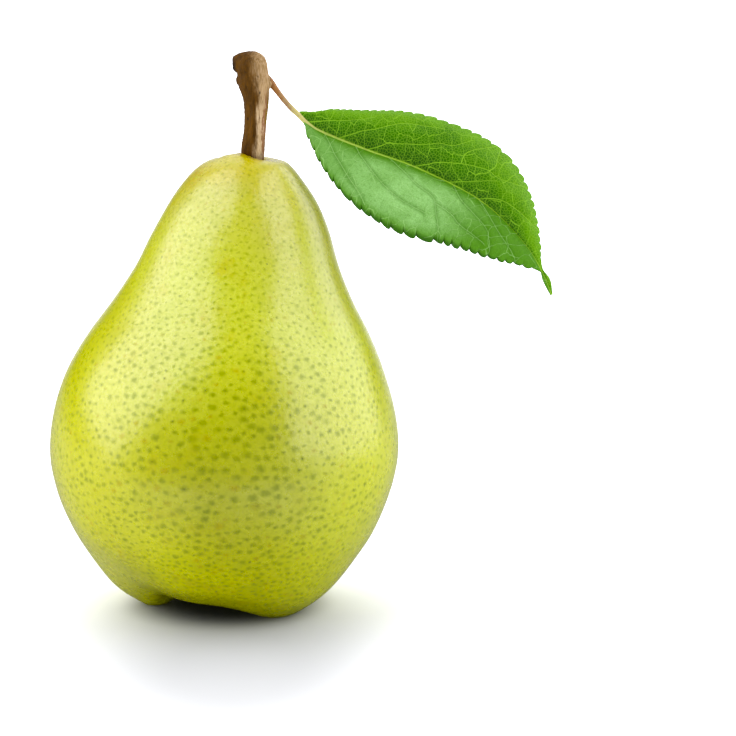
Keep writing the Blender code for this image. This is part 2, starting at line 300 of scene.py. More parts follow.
def bumpFrom(tree, *layers):
    # heights with their depths in millimetres, the lowest layer first
    normal = None
    for height, depth in layers:
        inputs = {"Height": height, "Distance": depth * mm, "Strength": 1.0}
        if normal is not None:
            inputs["Normal"] = normal
        normal = addNode(tree, "Bump", inputs).outputs["Normal"]
    return normal


# Camera, floor and lights

studio = {
    "lens": 141.9,
    "sensor": 36.0,
    "cameraPlace": (13.866, -582.46, 151.967),  # millimetres, in the frame
    "cameraPitch": 80,
    "floorSize": 8.0,
    "floorColour": colour(235, 236, 241),
    "floorRoughness": 0.75,
    "floorSpecular": 0.2,
    "floorLift": 0.45,  # light that the floor adds from below
    # a painted contact shadow round the fruit's foot
    "floorContactShadow": (0.008, 0.024, 0.12, 1.0),  # distances from the fruit's axis, shares of the colour
    # a painted soft shadow in front of the fruit: its middle and stretch, then distances and shares as above
    "floorShade": ((-0.011, -0.047, 0.0), (1.0, 0.5, 1.0), (0.010, 0.046, 0.51, 1.0)),
    "floorGloss": 0.22,  # share of the floor that shines in the gloss
    "floorGlow": ((0.03, 0.0), (0.16, 0.42), (0.9, 1.0)),  # distance from the fruit's axis, glow
    "worldSides": (0.0, 1.0, 0.0, 1.05),  # light from the sides, by how far across the direction points
    "worldDepth": (-1.0, 1.0, 0.30, 1.95),  # light from the front to behind
    "worldBehind": ((0.0, 0.70, 0.714), (0.77, 0.97, 0.0, 0.84)),  # shines in the gloss: direction, reach
    "straightBehind": (0.90, 0.98, 0.0, 0.85),  # shines in the rims, on the world and on the floor
    "darkFrom": (-0.17, -0.09),  # the floor in front of this doesn't shine in the gloss either
    "softboxes": (
        # name, azimuth from the camera's side, elevation, roll, distance, width, height, brightness
        ("leftSoftbox", -78, 40, -23, 0.75, 0.82, 1.22, 1.62),
        ("rightSoftbox", 95, 25, -20, 0.75, 1.22, 1.07, 1.45),
    ),
    "saturation": 1.07,
    "aim": (0.0, 0.0, 0.055),
}
white = (1.0, 1.0, 1.0, 1.0)
black = (0.0, 0.0, 0.0, 1.0)


def makeCamera():
    data = bpy.data.cameras.new("photoCamera")
    data.lens = studio["lens"]
    data.sensor_width = studio["sensor"]
    camera = bpy.data.objects.new("photoCamera", data)
    camera.location = Vector(studio["cameraPlace"]) * mm
    camera.rotation_euler = (math.radians(studio["cameraPitch"]), 0, 0)
    bpy.context.collection.objects.link(camera)
    bpy.context.scene.camera = camera


def paintFloor():
    # the floor fades to plain white away from the fruit: its glow for the camera grows with distance, and a
    # painted contact shadow and a painted soft shadow darken its colour near the fruit
    material, tree, shader = newMaterial("paleFloor")
    (start, low), (middle, half), (end, high) = studio["floorGlow"]
    where = addNode(tree, "TexCoord", {}).outputs["Object"]
    light = addNode(tree, "LightPath", {}).outputs
    away = distance(tree, where, (axisX * mm, 0, 0))
    glow = calculate(tree, "ADD", between(tree, away, start, middle, low, half),
                     between(tree, away, middle, end, 0.0, high - half))
    # a painted contact shadow darkens the floor round the fruit's foot
    contactShadow = between(tree, away, *studio["floorContactShadow"])
    # a painted soft shadow in front of the fruit, multiplied into the floor's colour
    place, stretch, steps = studio["floorShade"]
    offset = vectorMath(tree, "MULTIPLY", vectorMath(tree, "SUBTRACT", where, place), stretch)
    shade = times(tree, contactShadow, between(tree, distance(tree, offset), *steps))

    depth = parts(tree, where)[1]
    shining = between(tree, depth, *studio["darkFrom"])
    hidden = times(tree, light["Is Glossy Ray"], restOf(tree, times(tree, shining, studio["floorGloss"])))
    rims = between(tree, calculate(tree, "DIVIDE", depth, away), *studio["straightBehind"])
    emitted = calculate(tree, "ADD", times(tree, glow, light["Is Camera Ray"]),
                        times(tree, shade, studio["floorLift"], light["Is Diffuse Ray"]),
                        times(tree, rims, light["Is Glossy Ray"], contactShadow))
    fillInputs(tree, shader, {
        "Base Color": scaled(tree, mixColours(tree, hidden, studio["floorColour"], black), shade),
        "Roughness": studio["floorRoughness"],
        "Specular IOR Level": studio["floorSpecular"],
        "Emission Color": white,
        "Emission Strength": emitted,
    })
    return material


def makeFloor(material):
    bm = bmesh.new()
    bmesh.ops.create_grid(bm, x_segments=1, y_segments=1, size=studio["floorSize"] / 2)
    mesh = bpy.data.meshes.new("paleFloor")
    bm.to_mesh(mesh)
    bm.free()
    mesh.materials.append(material)
    floor = bpy.data.objects.new("paleFloor", mesh)
    bpy.context.collection.objects.link(floor)


def makeSoftboxes():
    aim = Vector(studio["aim"])
    for name, azimuth, elevation, roll, away, width, height, brightness in studio["softboxes"]:
        turn, rise = math.radians(azimuth), math.radians(elevation)
        towards = Vector((math.sin(turn) * math.cos(rise), -math.cos(turn) * math.cos(rise), math.sin(rise)))
        data = bpy.data.lights.new(name, "AREA")
        data.shape = "RECTANGLE"
        data.size = width
        data.size_y = height
        data.energy = brightness * math.pi * width * height
        light = bpy.data.objects.new(name, data)
        light.location = aim + towards * away
        facing = towards.to_track_quat("Z", "Y").to_matrix() @ Matrix.Rotation(math.radians(roll), 3, "Z")
        light.rotation_euler = facing.to_euler()
        bpy.context.collection.objects.link(light)


def makeWorld():
    # one light for matt surfaces, another for the gloss, and plain white for the camera
    world = bpy.data.worlds.new("studioWorld")
    world.use_nodes = True
    tree = world.node_tree
    light = addNode(tree, "LightPath", {}).outputs
    direction = addNode(tree, "TexCoord", {}).outputs["Generated"]
    across, depth = parts(tree, direction)[:2]
    towards, reach = studio["worldBehind"]
    facing = addNode(tree, "VectorMath", {0: direction, 1: towards}, operation="DOT_PRODUCT").outputs
    gloss = calculate(tree, "MAXIMUM", between(tree, facing["Value"], *reach),
                      between(tree, depth, *studio["straightBehind"]))
    fill = calculate(tree, "ADD", between(tree, absolute(tree, across), *studio["worldSides"]),
                     between(tree, depth, *studio["worldDepth"]))
    isGloss = light["Is Glossy Ray"]
    fill = calculate(tree, "ADD", times(tree, fill, restOf(tree, isGloss)), times(tree, isGloss, gloss))
    fillInputs(tree, tree.nodes["Background"], {
        "Color": white,
        "Strength": calculate(tree, "MAXIMUM", fill, light["Is Camera Ray"]),
    })
    world.cycles.sampling_method = "NONE"  # so that the fill stays out of the gloss
    scene = bpy.context.scene
    scene.world = world
    scene.view_settings.view_transform = "Standard"
    scene.view_settings.look = "None"


def strengthenColours():
    # the photo's colours are a little stronger than the light alone makes them
    scene = bpy.context.scene
    scene.use_nodes = True
    tree = scene.node_tree
    tree.nodes.clear()
    picture = tree.nodes.new("CompositorNodeRLayers")
    stronger = tree.nodes.new("CompositorNodeHueSat")
    stronger.inputs["Saturation"].default_value = studio["saturation"]
    result = tree.nodes.new("CompositorNodeComposite")
    tree.links.new(picture.outputs["Image"], stronger.inputs["Image"])
    tree.links.new(stronger.outputs["Image"], result.inputs["Image"])


makeCamera()
makeFloor(paintFloor())
makeSoftboxes()
makeWorld()
strengthenColours()
print("studio ready")


# Fruit: the same turned outline and shaping as the solid, with far more faces

fruit = {
    "radius": 35.75,
    "height": 92.4,
    "turns": 360,
    "stations": 176,
    "crowding": 1.25,
    "outline": (
        (0.155, 0.998), (0.225, 0.992), (0.303, 0.966), (0.408, 0.909), (0.502, 0.833), (0.579, 0.758),
        (0.682, 0.682), (0.806, 0.606), (0.900, 0.530), (0.967, 0.444), (0.997, 0.357), (0.971, 0.281),
        (0.903, 0.206), (0.810, 0.134), (0.670, 0.054), (0.545, 0.014), (0.420, -0.006), (0.280, 0.017),
        (0.185, 0.048), (0.120, 0.072),
    ),
    "ringShare": 0.420,
    "lean": 4.7,
    "leanStart": 43,
    "shoulder": (0.6, 10, 75, 12),  # drop, reach, start, rise
    "uneven": (0.010, 0.008),
    "lobes": ((-37, 50, 0.0, 1.0), (-114, 25, 0.1, 0.2), (180, 29, -0.6, 1.0), (110, 34, 0.8, 1.0),
              (45, 34, 0.8, 1.0)),  # compass, half width, swell, share of the depth
    "grooveDepth": 6.3,
    "lobeHeight": 21.8,
    "lip": (87, 1.5, 3.4, (3.4, -2.4)),  # foot, height, spread, place
    "hollowRadius": 2.75,
    "hollowFloor": 85.0,
    "hollowWall": (87.5, 89.5, 91.2),
    "hollowRim": ((2.8, 91.6), (3.0, 91.85), (3.3, 92.0)),
    "stemFootX": 6.1,
    "stemFootReach": 9,
    "socketRadius": 2.9,
    "socket": (7.2, 8.1, 9.0),
    "lumps": ((16, 0.16), (6, 0.05)),  # size and depth of the skin's slow unevenness
    "socketClear": 0.2,
    "restBand": 1.2,  # the skin is even from here down to what it stands on
    "wrinkles": (
        # lowest and highest point, middle, count, depth, reach, wander
        (80, 200, (6.1, 0.0), 17, 0.10, 7.5, 0.25),  # round the stem
        (-1, 12, (0.0, 0.0), 15, 0.20, 11.0, 0.20),  # round the calyx
    ),
    "footToBelly": (8, 34),
    "bellyToNeck": (46, 80),
    "dotSpacing": (1.15, 1.45, 1.10),  # at the foot, on the belly and at the neck
    "dotRadius": (0.50, 0.57, 0.35),
    "boldDots": ((4.0, -34.0, 34.0), 32.0),  # where the dots are larger and wider apart: place, reach
    "boldUneven": (0.3, 13),  # share, size
    "boldGain": (0.36, 0.75),  # in spacing and in radius
    "dotVariety": (0.60, 1.35),
    "dotTries": 7,  # for each square millimetre
    "dotCell": 1.65,  # the search cell, in widest spacings
    "dotSeed": 41,
}


def lobeShape(angle):
    swell = 0.0
    depth = 0.0
    for compass, width, reach, share in fruit["lobes"]:
        off = (math.degrees(angle) - compass + 180) % 360 - 180
        near = math.exp(-(off / width) ** 2)
        swell += reach * near
        depth += share * near
    return swell, fruit["grooveDepth"] * (1.0 - min(1.0, depth))


def shapeNeckPoint(point, radius):
    height = point.z
    lean = fruit["lean"] * ease((height - fruit["leanStart"]) / (fruit["height"] - fruit["leanStart"]))
    byStem = 1.0 - ease((radius - fruit["hollowRadius"]) / fruit["stemFootReach"])
    point.x += lean + (fruit["stemFootX"] - lean) * byStem
    drop, reach, start, rise = fruit["shoulder"]
    right = ease((point.x - fruit["lean"]) / reach)
    point.z -= drop * right * ease((height - start) / rise)
    foot, lift, spread, place = fruit["lip"]
    if height > foot:
        away = (point.xy - Vector(place)).length / spread
        point.z += lift * math.exp(-away ** 2)


def shapeFruitPoint(point):
    radius = point.xy.length
    angle = math.atan2(point.y, point.x)
    height = point.z
    outer = ease(radius / (fruit["ringShare"] * fruit["radius"]))
    low = outer * (1.0 - ease(height / fruit["lobeHeight"]))
    swell, lift = lobeShape(angle)
    twoFold, threeFold = fruit["uneven"]
    uneven = twoFold * math.sin(2 * angle) + threeFold * math.sin(3 * angle)
    radius = radius * (1.0 + uneven * outer) + swell * low
    point.x = radius * math.cos(angle)
    point.y = radius * math.sin(angle)
    point.z = max(0.0, height + lift * low)
    if height > fruit["leanStart"]:
        shapeNeckPoint(point, radius)


def skinRelief(point):
    # how far the skin stands off the turned shape
    relief = 0.0
    for size, depth in fruit["lumps"]:
        relief += depth * ripple(point, size)
    for low, high, middle, count, depth, reach, wander in fruit["wrinkles"]:
        if low < point.z < high:
            away = Vector((point.x - middle[0], point.y - middle[1]))
            angle = math.atan2(away.y, away.x) + wander * ripple(point, 3)
            relief -= depth * (1.0 - ease(away.length / reach)) * (0.5 + 0.5 * math.cos(count * angle))
    return relief


def easedBetween(value, low, high):
    return ease((value - low) / (high - low))


def alongHeight(height, values):
    # eased from the foot's value to the belly's, then to the neck's
    foot, belly, neck = values
    return (foot + (belly - foot) * easedBetween(height, *fruit["footToBelly"])
            + (neck - belly) * easedBetween(height, *fruit["bellyToNeck"]))


def boldness(point):
    # how far the spacing and the radius of the dots grow here
    place, reach = fruit["boldDots"]
    uneven, size = fruit["boldUneven"]
    share = 1.0 - ease((point - Vector(place)).length / reach) + uneven * ripple(point, size)
    return [1.0 + gain * share for gain in fruit["boldGain"]]


def scatterDots(bm):
    # dots no nearer to each other than their spacing, over the whole skin
    draw = random.Random(fruit["dotSeed"])
    faces = bm.faces[:]
    sums = list(itertools.accumulate(face.calc_area() for face in faces))
    cellSize = max(fruit["dotSpacing"]) * fruit["dotCell"]
    cells = {}
    dots = []
    for attempt in range(int(sums[-1] * fruit["dotTries"])):
        face = faces[bisect.bisect(sums, draw.random() * sums[-1]) % len(faces)]
        corners = [vert.co for vert in face.verts]
        across, up = draw.random(), draw.random()
        point = corners[0].lerp(corners[1], across).lerp(corners[-1].lerp(corners[-2], across), up)
        wider, larger = boldness(point)
        spacing = alongHeight(point.z, fruit["dotSpacing"]) * wider
        home = tuple(int(math.floor(part / cellSize)) for part in point)
        near = (other for step in itertools.product((-1, 0, 1), repeat=3)
                for other in cells.get(tuple(map(sum, zip(home, step))), ()))
        if any((other - point).length_squared < spacing * spacing for other in near):
            continue
        cells.setdefault(home, []).append(point)
        radius = alongHeight(point.z, fruit["dotRadius"]) * larger * draw.uniform(*fruit["dotVariety"])
        dots.append((point, radius, draw.random()))
    return dots


def nearestDots(bm, dots):
    # the two dots nearest to each face: both places, then both radii with the first one's chance
    tree = searchTree([dot[0] for dot in dots])
    nearest, second, kinds = [], [], []
    for face in bm.faces:
        first, other = [dots[found[1]] for found in tree.find_n(face.calc_center_median(), 2)]
        nearest.append(first[0])
        second.append(other[0])
        kinds.append((first[1], other[1], first[2]))
    return {"nearestDot": nearest, "secondDot": second, "dotKinds": kinds}


def buildFruit(material):
    hollow, socket = fruit["hollowRadius"], fruit["socketRadius"]
    outline = [(radius, fruit["hollowFloor"]) for radius in (0.0, hollow / 2, hollow)]
    outline += [(hollow, height) for height in fruit["hollowWall"]]
    outline += fruit["hollowRim"]
    knots = [(share * fruit["radius"], height * fruit["height"], 0.0) for share, height in fruit["outline"]]
    outline += [point.xy for point in curveThrough(knots, fruit["stations"], fruit["crowding"])]
    outline += [(socket, height) for height in fruit["socket"]] + [(0.0, fruit["socket"][-1])]
    bm = bmesh.new()
    turnOutline(bm, outline, fruit["turns"])
    bmesh.ops.recalc_face_normals(bm, faces=bm.faces)
    for vert in bm.verts:
        shapeFruitPoint(vert.co)
    bm.normal_update()
    for vert in bm.verts:
        if vert.co.xy.length > socket + fruit["socketClear"]:
            vert.co += vert.normal * skinRelief(vert.co) * ease(vert.co.z / fruit["restBand"])
    dots = scatterDots(bm)
    print("fruit has", len(dots), "dots")
    found = nearestDots(bm, dots)
    piece = makePiece("fruitSkin", bm, [material], "fruit")
    for name, values in found.items():
        storeVectors(piece, name, "FACE", values)
    return piece


skinPaint = {
    "noises": {  # scale, detail, roughness
        "slow": (0.035, 2.0, 0.5), "mottle": (0.22, 4.0, 0.6), "fine": (0.9, 3.0, 0.6),
        "grain": (1.4, 3.0, 0.65), "peel": (1.6, 2.0, 0.5), "waves": (0.45, 2.0, 0.5),
    },
    "height": 95.0,
    "shift": (0.3, 0.7, -0.14, 0.14),  # how far the slow noise moves the colours below up and down
    "upwards": ((0.0, "foot"), (0.3, "belly"), (0.62, "waist"), (0.88, "neck"), (1.0, "top")),
    # over the skin's own colours, the foot is painted lighter and the belly darker, painted light and painted
    # shade, and the waist and neck paler, a painted sheen
    "foot": colour(192, 194, 0),
    "belly": colour(172, 174, 0),
    "waist": colour(181, 187, 58),
    "neck": colour(174, 172, 66),
    "top": colour(178, 168, 44),
    "layers": (
        ("greener", ("mottle", 0.50, 0.75, 0.0, 0.45)),
        ("yellower", ("mottle", 0.48, 0.28, 0.0, 0.5)),
        # the right side greener and darker: the skin's own green and painted shade
        ("greener", ("across", 4.0, 20.0, 0.0, 0.45)),
        # the left side lighter and yellower: painted light over the skin's own yellow
        ("sunny", ("across", -10.0, -24.0, 0.0, 0.65)),
        # the front of the belly darker green: painted shade over the skin's own green
        ("deep", ("fromDeep", 25.0, 7.0, 0.0, 0.58)),
        ("greener", ("fine", 0.45, 0.75, 0.0, 0.22)),
    ),
    "greener": colour(160, 168, 0),
    "yellower": colour(176, 168, 0),
    # painted light for the left side
    "sunny": colour(178, 178, 0),
    # the darker green of the painted shade on the front of the belly, and its middle
    "deep": colour(142, 145, 0),
    "deepPlace": (5.0, -34.0, 35.0),  # where the skin is deepest in colour, on the front of the belly
    # the skin's colour is multiplied by these
    "grain": (0.80, 0.83, 0.4, 1.0),
    "dot": (0.58, 0.63, 0.1, 1.0),
    "ochreDot": (0.84, 0.73, 0.3, 1.0),
    "pinpoint": (0.60, 0.60, 0.8, 1.0),
    "grainSteps": (0.45, 0.65, 0.0, 0.8),
    "dotShifts": ((0.9, 0.85), (2.6, 0.40)),  # scale and reach of what makes the dots uneven
    "dotSquash": (1.0, 1.0, 1.4),
    "dotEdge": (1.40, 0.20),  # in radii, from the outside in
    "dotStrength": ((0.3, 0.6, 0.7, 1.0), (52.0, 80.0, 1.0, 0.75)),  # by the mottle and by the height
    "ochreChance": (0.10, 0.04),
    "pinRadius": (0.24, 0.08),
    "pinChance": (0.92, 0.99),
    "rubs": (
        # middle, steps from it, then the noise that breaks the rub up and the steps of that
        ((6.1, 0.0, 92.0), (7.5, 2.6), "mottle", (0.35, 0.65)),  # round the stem
        ((-5.5, -4.0, 89.5), (6.0, 1.0, 0.0, 0.7), "fine", (0.40, 0.60)),  # on the left shoulder
        ((0.0, 0.0, 6.5), (9.0, 3.0), "mottle", (0.30, 0.60)),  # in the calyx basin
    ),
    "rubShare": 0.6,
    "ochre": colour(170, 128, 30),
    "roughness": (0.25, 0.75, 0.26, 0.29),
    "ior": 1.70,
    "specular": 0.55,
    "wax": (0.60, 0.35, 0.45, 1.0),  # the coat's weight, less where the skin is grainy
    "waxOnDots": 0.15,
    "coatRoughness": 0.27,
    "bumps": (("waves", 0.10), ("peel", 0.045), ("core", 0.018)),
    "subsurface": 0.10,
    "subsurfaceRadius": (2.0, 1.6, 0.4),
}


def dotShares(tree, values):
    # soft uneven dots, wider than high, from the two nearest centres that each face keeps
    moved = values["place"]
    for scale, reach in skinPaint["dotShifts"]:
        moved = noiseShift(tree, moved, scale, reach)
    radiusNear, radiusNext, chance = parts(tree, attributeVector(tree, "dotKinds"))
    rings = []
    for name, radius in (("nearestDot", radiusNear), ("secondDot", radiusNext)):
        away = vectorMath(tree, "SUBTRACT", moved, attributeVector(tree, name))
        squashed = vectorMath(tree, "MULTIPLY", away, skinPaint["dotSquash"])
        rings.append(calculate(tree, "DIVIDE", distance(tree, squashed), radius))
    core = between(tree, calculate(tree, "MINIMUM", *rings), *skinPaint["dotEdge"])
    mottled, higher = skinPaint["dotStrength"]
    dotted = times(tree, core, between(tree, values["mottle"], *mottled),
                   between(tree, values["height"], *higher))
    toPin = distance(tree, values["place"], attributeVector(tree, "nearestDot"))
    pin = times(tree, between(tree, toPin, *skinPaint["pinRadius"]),
                between(tree, chance, *skinPaint["pinChance"]))
    return core, dotted, pin, between(tree, chance, *skinPaint["ochreChance"])


def paintSkin():
    material, tree, shader = newMaterial("dottedSkin")
    place = objectPlace(tree)
    values = {name: noiseAt(tree, place, *settings) for name, settings in skinPaint["noises"].items()}
    values.update(zip(("across", "depth", "height"), parts(tree, place)))
    values["place"] = place
    values["fromDeep"] = distance(tree, place, skinPaint["deepPlace"])

    # green at the foot, yellower towards the neck, and never quite even; over the skin's own colours the foot
    # is painted lighter and the belly darker, painted light and painted shade, and the waist and neck carry a
    # pale painted sheen
    share = calculate(tree, "DIVIDE", values["height"], skinPaint["height"])
    share = calculate(tree, "ADD", share, between(tree, values["slow"], *skinPaint["shift"]))
    base = ramp(tree, share, [(stop, skinPaint[name]) for stop, name in skinPaint["upwards"]])
    # mottled tones, with painted light on the left side and painted shade on the right and on the front of
    # the belly
    base = laidOn(tree, base, values, skinPaint["layers"], skinPaint)
    grained = between(tree, values["grain"], *skinPaint["grainSteps"])
    base = mixColours(tree, grained, base, skinPaint["grain"], "MULTIPLY")

    values["core"], dotted, pin, ochre = dotShares(tree, values)
    dotColour = mixColours(tree, ochre, skinPaint["dot"], skinPaint["ochreDot"])
    base = mixColours(tree, dotted, base, dotColour, "MULTIPLY")
    base = mixColours(tree, pin, base, skinPaint["pinpoint"], "MULTIPLY")
    rubs = [times(tree, between(tree, distance(tree, place, middle), *steps),
                  between(tree, values[name], *breaks))
            for middle, steps, name, breaks in skinPaint["rubs"]]
    rubbed = times(tree, calculate(tree, "MAXIMUM", *rubs), skinPaint["rubShare"])

    fillInputs(tree, shader, {
        "Base Color": mixColours(tree, rubbed, base, skinPaint["ochre"]),
        "Roughness": between(tree, values["mottle"], *skinPaint["roughness"]),
        "IOR": skinPaint["ior"],
        "Specular IOR Level": skinPaint["specular"],
        "Coat Weight": times(tree, between(tree, values["grain"], *skinPaint["wax"]),
                             between(tree, dotted, 0.0, 1.0, 1.0, skinPaint["waxOnDots"])),
        "Coat IOR": skinPaint["ior"],
        "Coat Roughness": skinPaint["coatRoughness"],
        "Normal": bumpFrom(tree, *[(values[name], depth) for name, depth in skinPaint["bumps"]]),
        "Subsurface Weight": skinPaint["subsurface"],
        "Subsurface Radius": skinPaint["subsurfaceRadius"],
        "Subsurface Scale": mm,
    })
    return material


buildFruit(paintSkin())
print("fruit done")


# Stem: the solid's stations and branches, melted into one body and then roughened as bark

stem = {
    "stations": (
        (85.6, 6.1, 2.05), (89.5, 6.1, 2.25), (93.5, 6.1, 2.35), (96.9, 6.5, 2.25), (99.8, 6.8, 2.25),
        (102.4, 6.9, 2.40), (104.6, 6.8, 2.65), (106.3, 6.6, 2.95), (107.9, 6.35, 3.20), (109.4, 6.25, 3.10),
        (110.8, 6.0, 3.25), (112.1, 5.95, 2.90), (113.1, 5.95, 2.05), (113.6, 5.95, 0.90),
    ),
    "rings": 70,
    "sides": 40,
    "scar": ((5.6, 0.1, 110.8, 2.75), (4.2, 0.0, 111.0, 2.45), (3.2, -0.1, 110.95, 2.0),
             (2.5, -0.2, 110.75, 1.35), (2.15, -0.2, 110.7, 0.70)),
    "knot": ((5.0, -0.1, 107.8, 2.2), (4.0, -0.2, 107.8, 1.6), (3.4, -0.2, 107.75, 1.1),
             (3.0, -0.2, 107.7, 0.5)),
    "spur": ((7.2, 0.0, 109.4, 1.8), (8.3, 0.0, 108.3, 1.35), (9.2, -0.05, 107.4, 1.0),
             (10.0, -0.15, 106.75, 0.74)),
    "branchRings": 14,
    "branchSides": 24,
    "voxel": 0.15,
    "smoothings": 5,
    "flutes": ((5, 0.10), (11, 0.05)),  # count and depth of the lengthwise ridges
    "twist": (0.02, 92),  # for each millimetre above this height
    "wander": (0.6, 6),  # how far the ridges stray, and over what size
    "furrows": (0.10, 0.75, 0.22),  # depth, size, and how far the noise is stretched upwards
    "pits": (0.05, 0.45),  # depth, size
    "knobCalm": (109, 0.8),  # above this height all of that is shallower
    "scarPlace": (1.7, -0.4, 110.8),
    "scarReach": 1.9,
    "scarDish": 0.15,
    "scarRim": (0.06, 0.9, 0.22),  # height, place and width, in reaches
}


def meltTogether(bm, voxel):
    # overlapping closed parts become one skin
    mesh = bpy.data.meshes.new("melt")
    bm.to_mesh(mesh)
    bm.free()
    rough = bpy.data.objects.new("melt", mesh)
    bpy.context.collection.objects.link(rough)
    remesh = rough.modifiers.new("melt", "REMESH")
    remesh.mode = "VOXEL"
    remesh.voxel_size = voxel
    depsgraph = bpy.context.evaluated_depsgraph_get()
    melted = bmesh.new()
    melted.from_mesh(bpy.data.meshes.new_from_object(rough.evaluated_get(depsgraph)))
    bpy.data.objects.remove(rough)
    return melted


def stemAxisAt(height):
    stations = stem["stations"]
    height = min(stations[-1][0], max(stations[0][0], height))
    return tableValue(stations, height, 1)


def barkRelief(point):
    angle = math.atan2(point.y, point.x - stemAxisAt(point.z))
    twist, start = stem["twist"]
    stray, size = stem["wander"]
    move = 0.0
    for count, depth in stem["flutes"]:
        turned = angle + twist * (point.z - start) + stray * ripple((point.z, 0, count), size)
        move += depth * math.cos(count * turned) * (0.6 + 0.4 * ripple(point, 4))
    depth, size, stretch = stem["furrows"]
    move += depth * ripple((point.x, point.y, point.z * stretch), size)
    depth, size = stem["pits"]
    move += depth * ripple(point, size)
    knob, calm = stem["knobCalm"]
    return move * calm if point.z > knob else move


def scarRelief(point, normal):
    # the scar is dished, with a torn rim
    away = (point - Vector(stem["scarPlace"])).length / stem["scarReach"]
    if away >= 1.3 or normal.x >= 0:
        return 0.0
    height, place, width = stem["scarRim"]
    rim = height * math.exp(-((away - place) / width) ** 2) * (0.6 + ripple(point, 0.6))
    return (rim - stem["scarDish"] * (1.0 - ease(away))) * ease(-normal.x * 1.6)


def buildStem(material):
    bm = bmesh.new()
    knots = [(across, radius, height) for height, across, radius in stem["stations"]]
    rings = curveThrough(knots, stem["rings"])
    sweepTube(bm, [Vector((ring.x, 0.0, ring.z)) for ring in rings], [ring.y for ring in rings],
              stem["sides"])
    for branch in ("scar", "knot", "spur"):
        line = curveThrough(stem[branch], stem["branchRings"])
        sweepTube(bm, [point.xyz for point in line], [point.w for point in line], stem["branchSides"])
    bmesh.ops.recalc_face_normals(bm, faces=bm.faces)
    bm = meltTogether(bm, stem["voxel"])
    for step in range(stem["smoothings"]):
        bmesh.ops.smooth_vert(bm, verts=bm.verts, factor=0.5, use_axis_x=True, use_axis_y=True,
                              use_axis_z=True)
    bm.normal_update()
    for vert in bm.verts:
        point = vert.co.copy()
        vert.co += vert.normal * (barkRelief(point) + scarRelief(point, vert.normal))
    return makePiece("stemBark", bm, [material], "stem")


barkPaint = {
    "streaked": (1.0, 1.0, 0.16),  # the streaks and hairs are longer than wide, and so are the pits
    "speckled": (1.0, 1.0, 0.45),
    "streak": (1.5, 4.0, 0.65),
    "hair": (4.5, 3.0, 0.6),
    "blotch": (0.5, 3.0, 0.6),
    "pitScale": 1.1,
    "sideWander": 2.4,
    "knobShift": (110.5, 107.0, 0.0, 0.8),
    "stripeStart": ((101.5, 104.0, 6.75, 7.35), (97.0, 93.5, 0.0, -0.6)),
    "rimStart": (97.0, 103.0, 7.95, 8.45),
    "scarShift": (1.2, 1.1),
    # the bark lightens from the left round to the front right, where a red line and an olive edge end it: the
    # lighter tan and pink are partly the bark's own colour and partly painted light, the pink a painted
    # highlight
    "layers": (
        ("umber", ("streak", 0.30, 0.70)),
        ("dark", ("blotch", 0.55, 0.75, 0.0, 0.5)),
        ("knobTan", ("knobSide", 5.2, 8.0, 0.0, 0.9), ("height", 104.5, 107.0)),
        ("pink", ("knobSide", 5.2, 8.0, 0.0, 0.9), ("height", 104.5, 107.0),
         ("hair", 0.40, 0.65, 0.0, 0.35)),
        ("tan", ("fromStripe", -0.2, 1.1), ("height", 109.0, 105.0), ("height", 105.0, 98.0, 0.7, 0.9)),
        ("pink", ("fromStripe", -0.2, 1.1), ("height", 109.0, 105.0), ("hair", 0.40, 0.60, 0.1, 0.8),
         ("height", 106.0, 98.0, 0.2, 1.0)),
        ("red", ("fromRim", 0.0, 0.3, 0.0, 0.8), ("height", 107.0, 103.0)),
        ("olive", ("fromRim", 0.45, 0.8, 0.0, 0.8), ("height", 107.0, 103.0)),
        ("dark", ("hair", 0.44, 0.30, 0.0, 0.45)),
        ("pitBrown", ("specks", 0.22, 0.10, 0.0, 0.75), ("blotch", 0.40, 0.60)),
        ("scar", ("toScar", 2.3, 1.2)),
        # darker down into the fruit's hollow: painted shade
        ("dark", ("height", 94.0, 91.0, 0.0, 0.7)),
    ),
    "dark": colour(63, 39, 4),
    "umber": colour(90, 58, 10),
    "tan": colour(170, 143, 105),
    "knobTan": colour(134, 106, 68),
    # a pale pink that is partly a painted highlight
    "pink": colour(192, 170, 142),
    "red": colour(104, 56, 22),
    "olive": colour(104, 82, 18),
    "pitBrown": colour(40, 22, 6),
    "scar": colour(30, 18, 8),
    "roughness": (0.3, 0.7, 0.42, 0.62),
    "specular": 0.12,
}


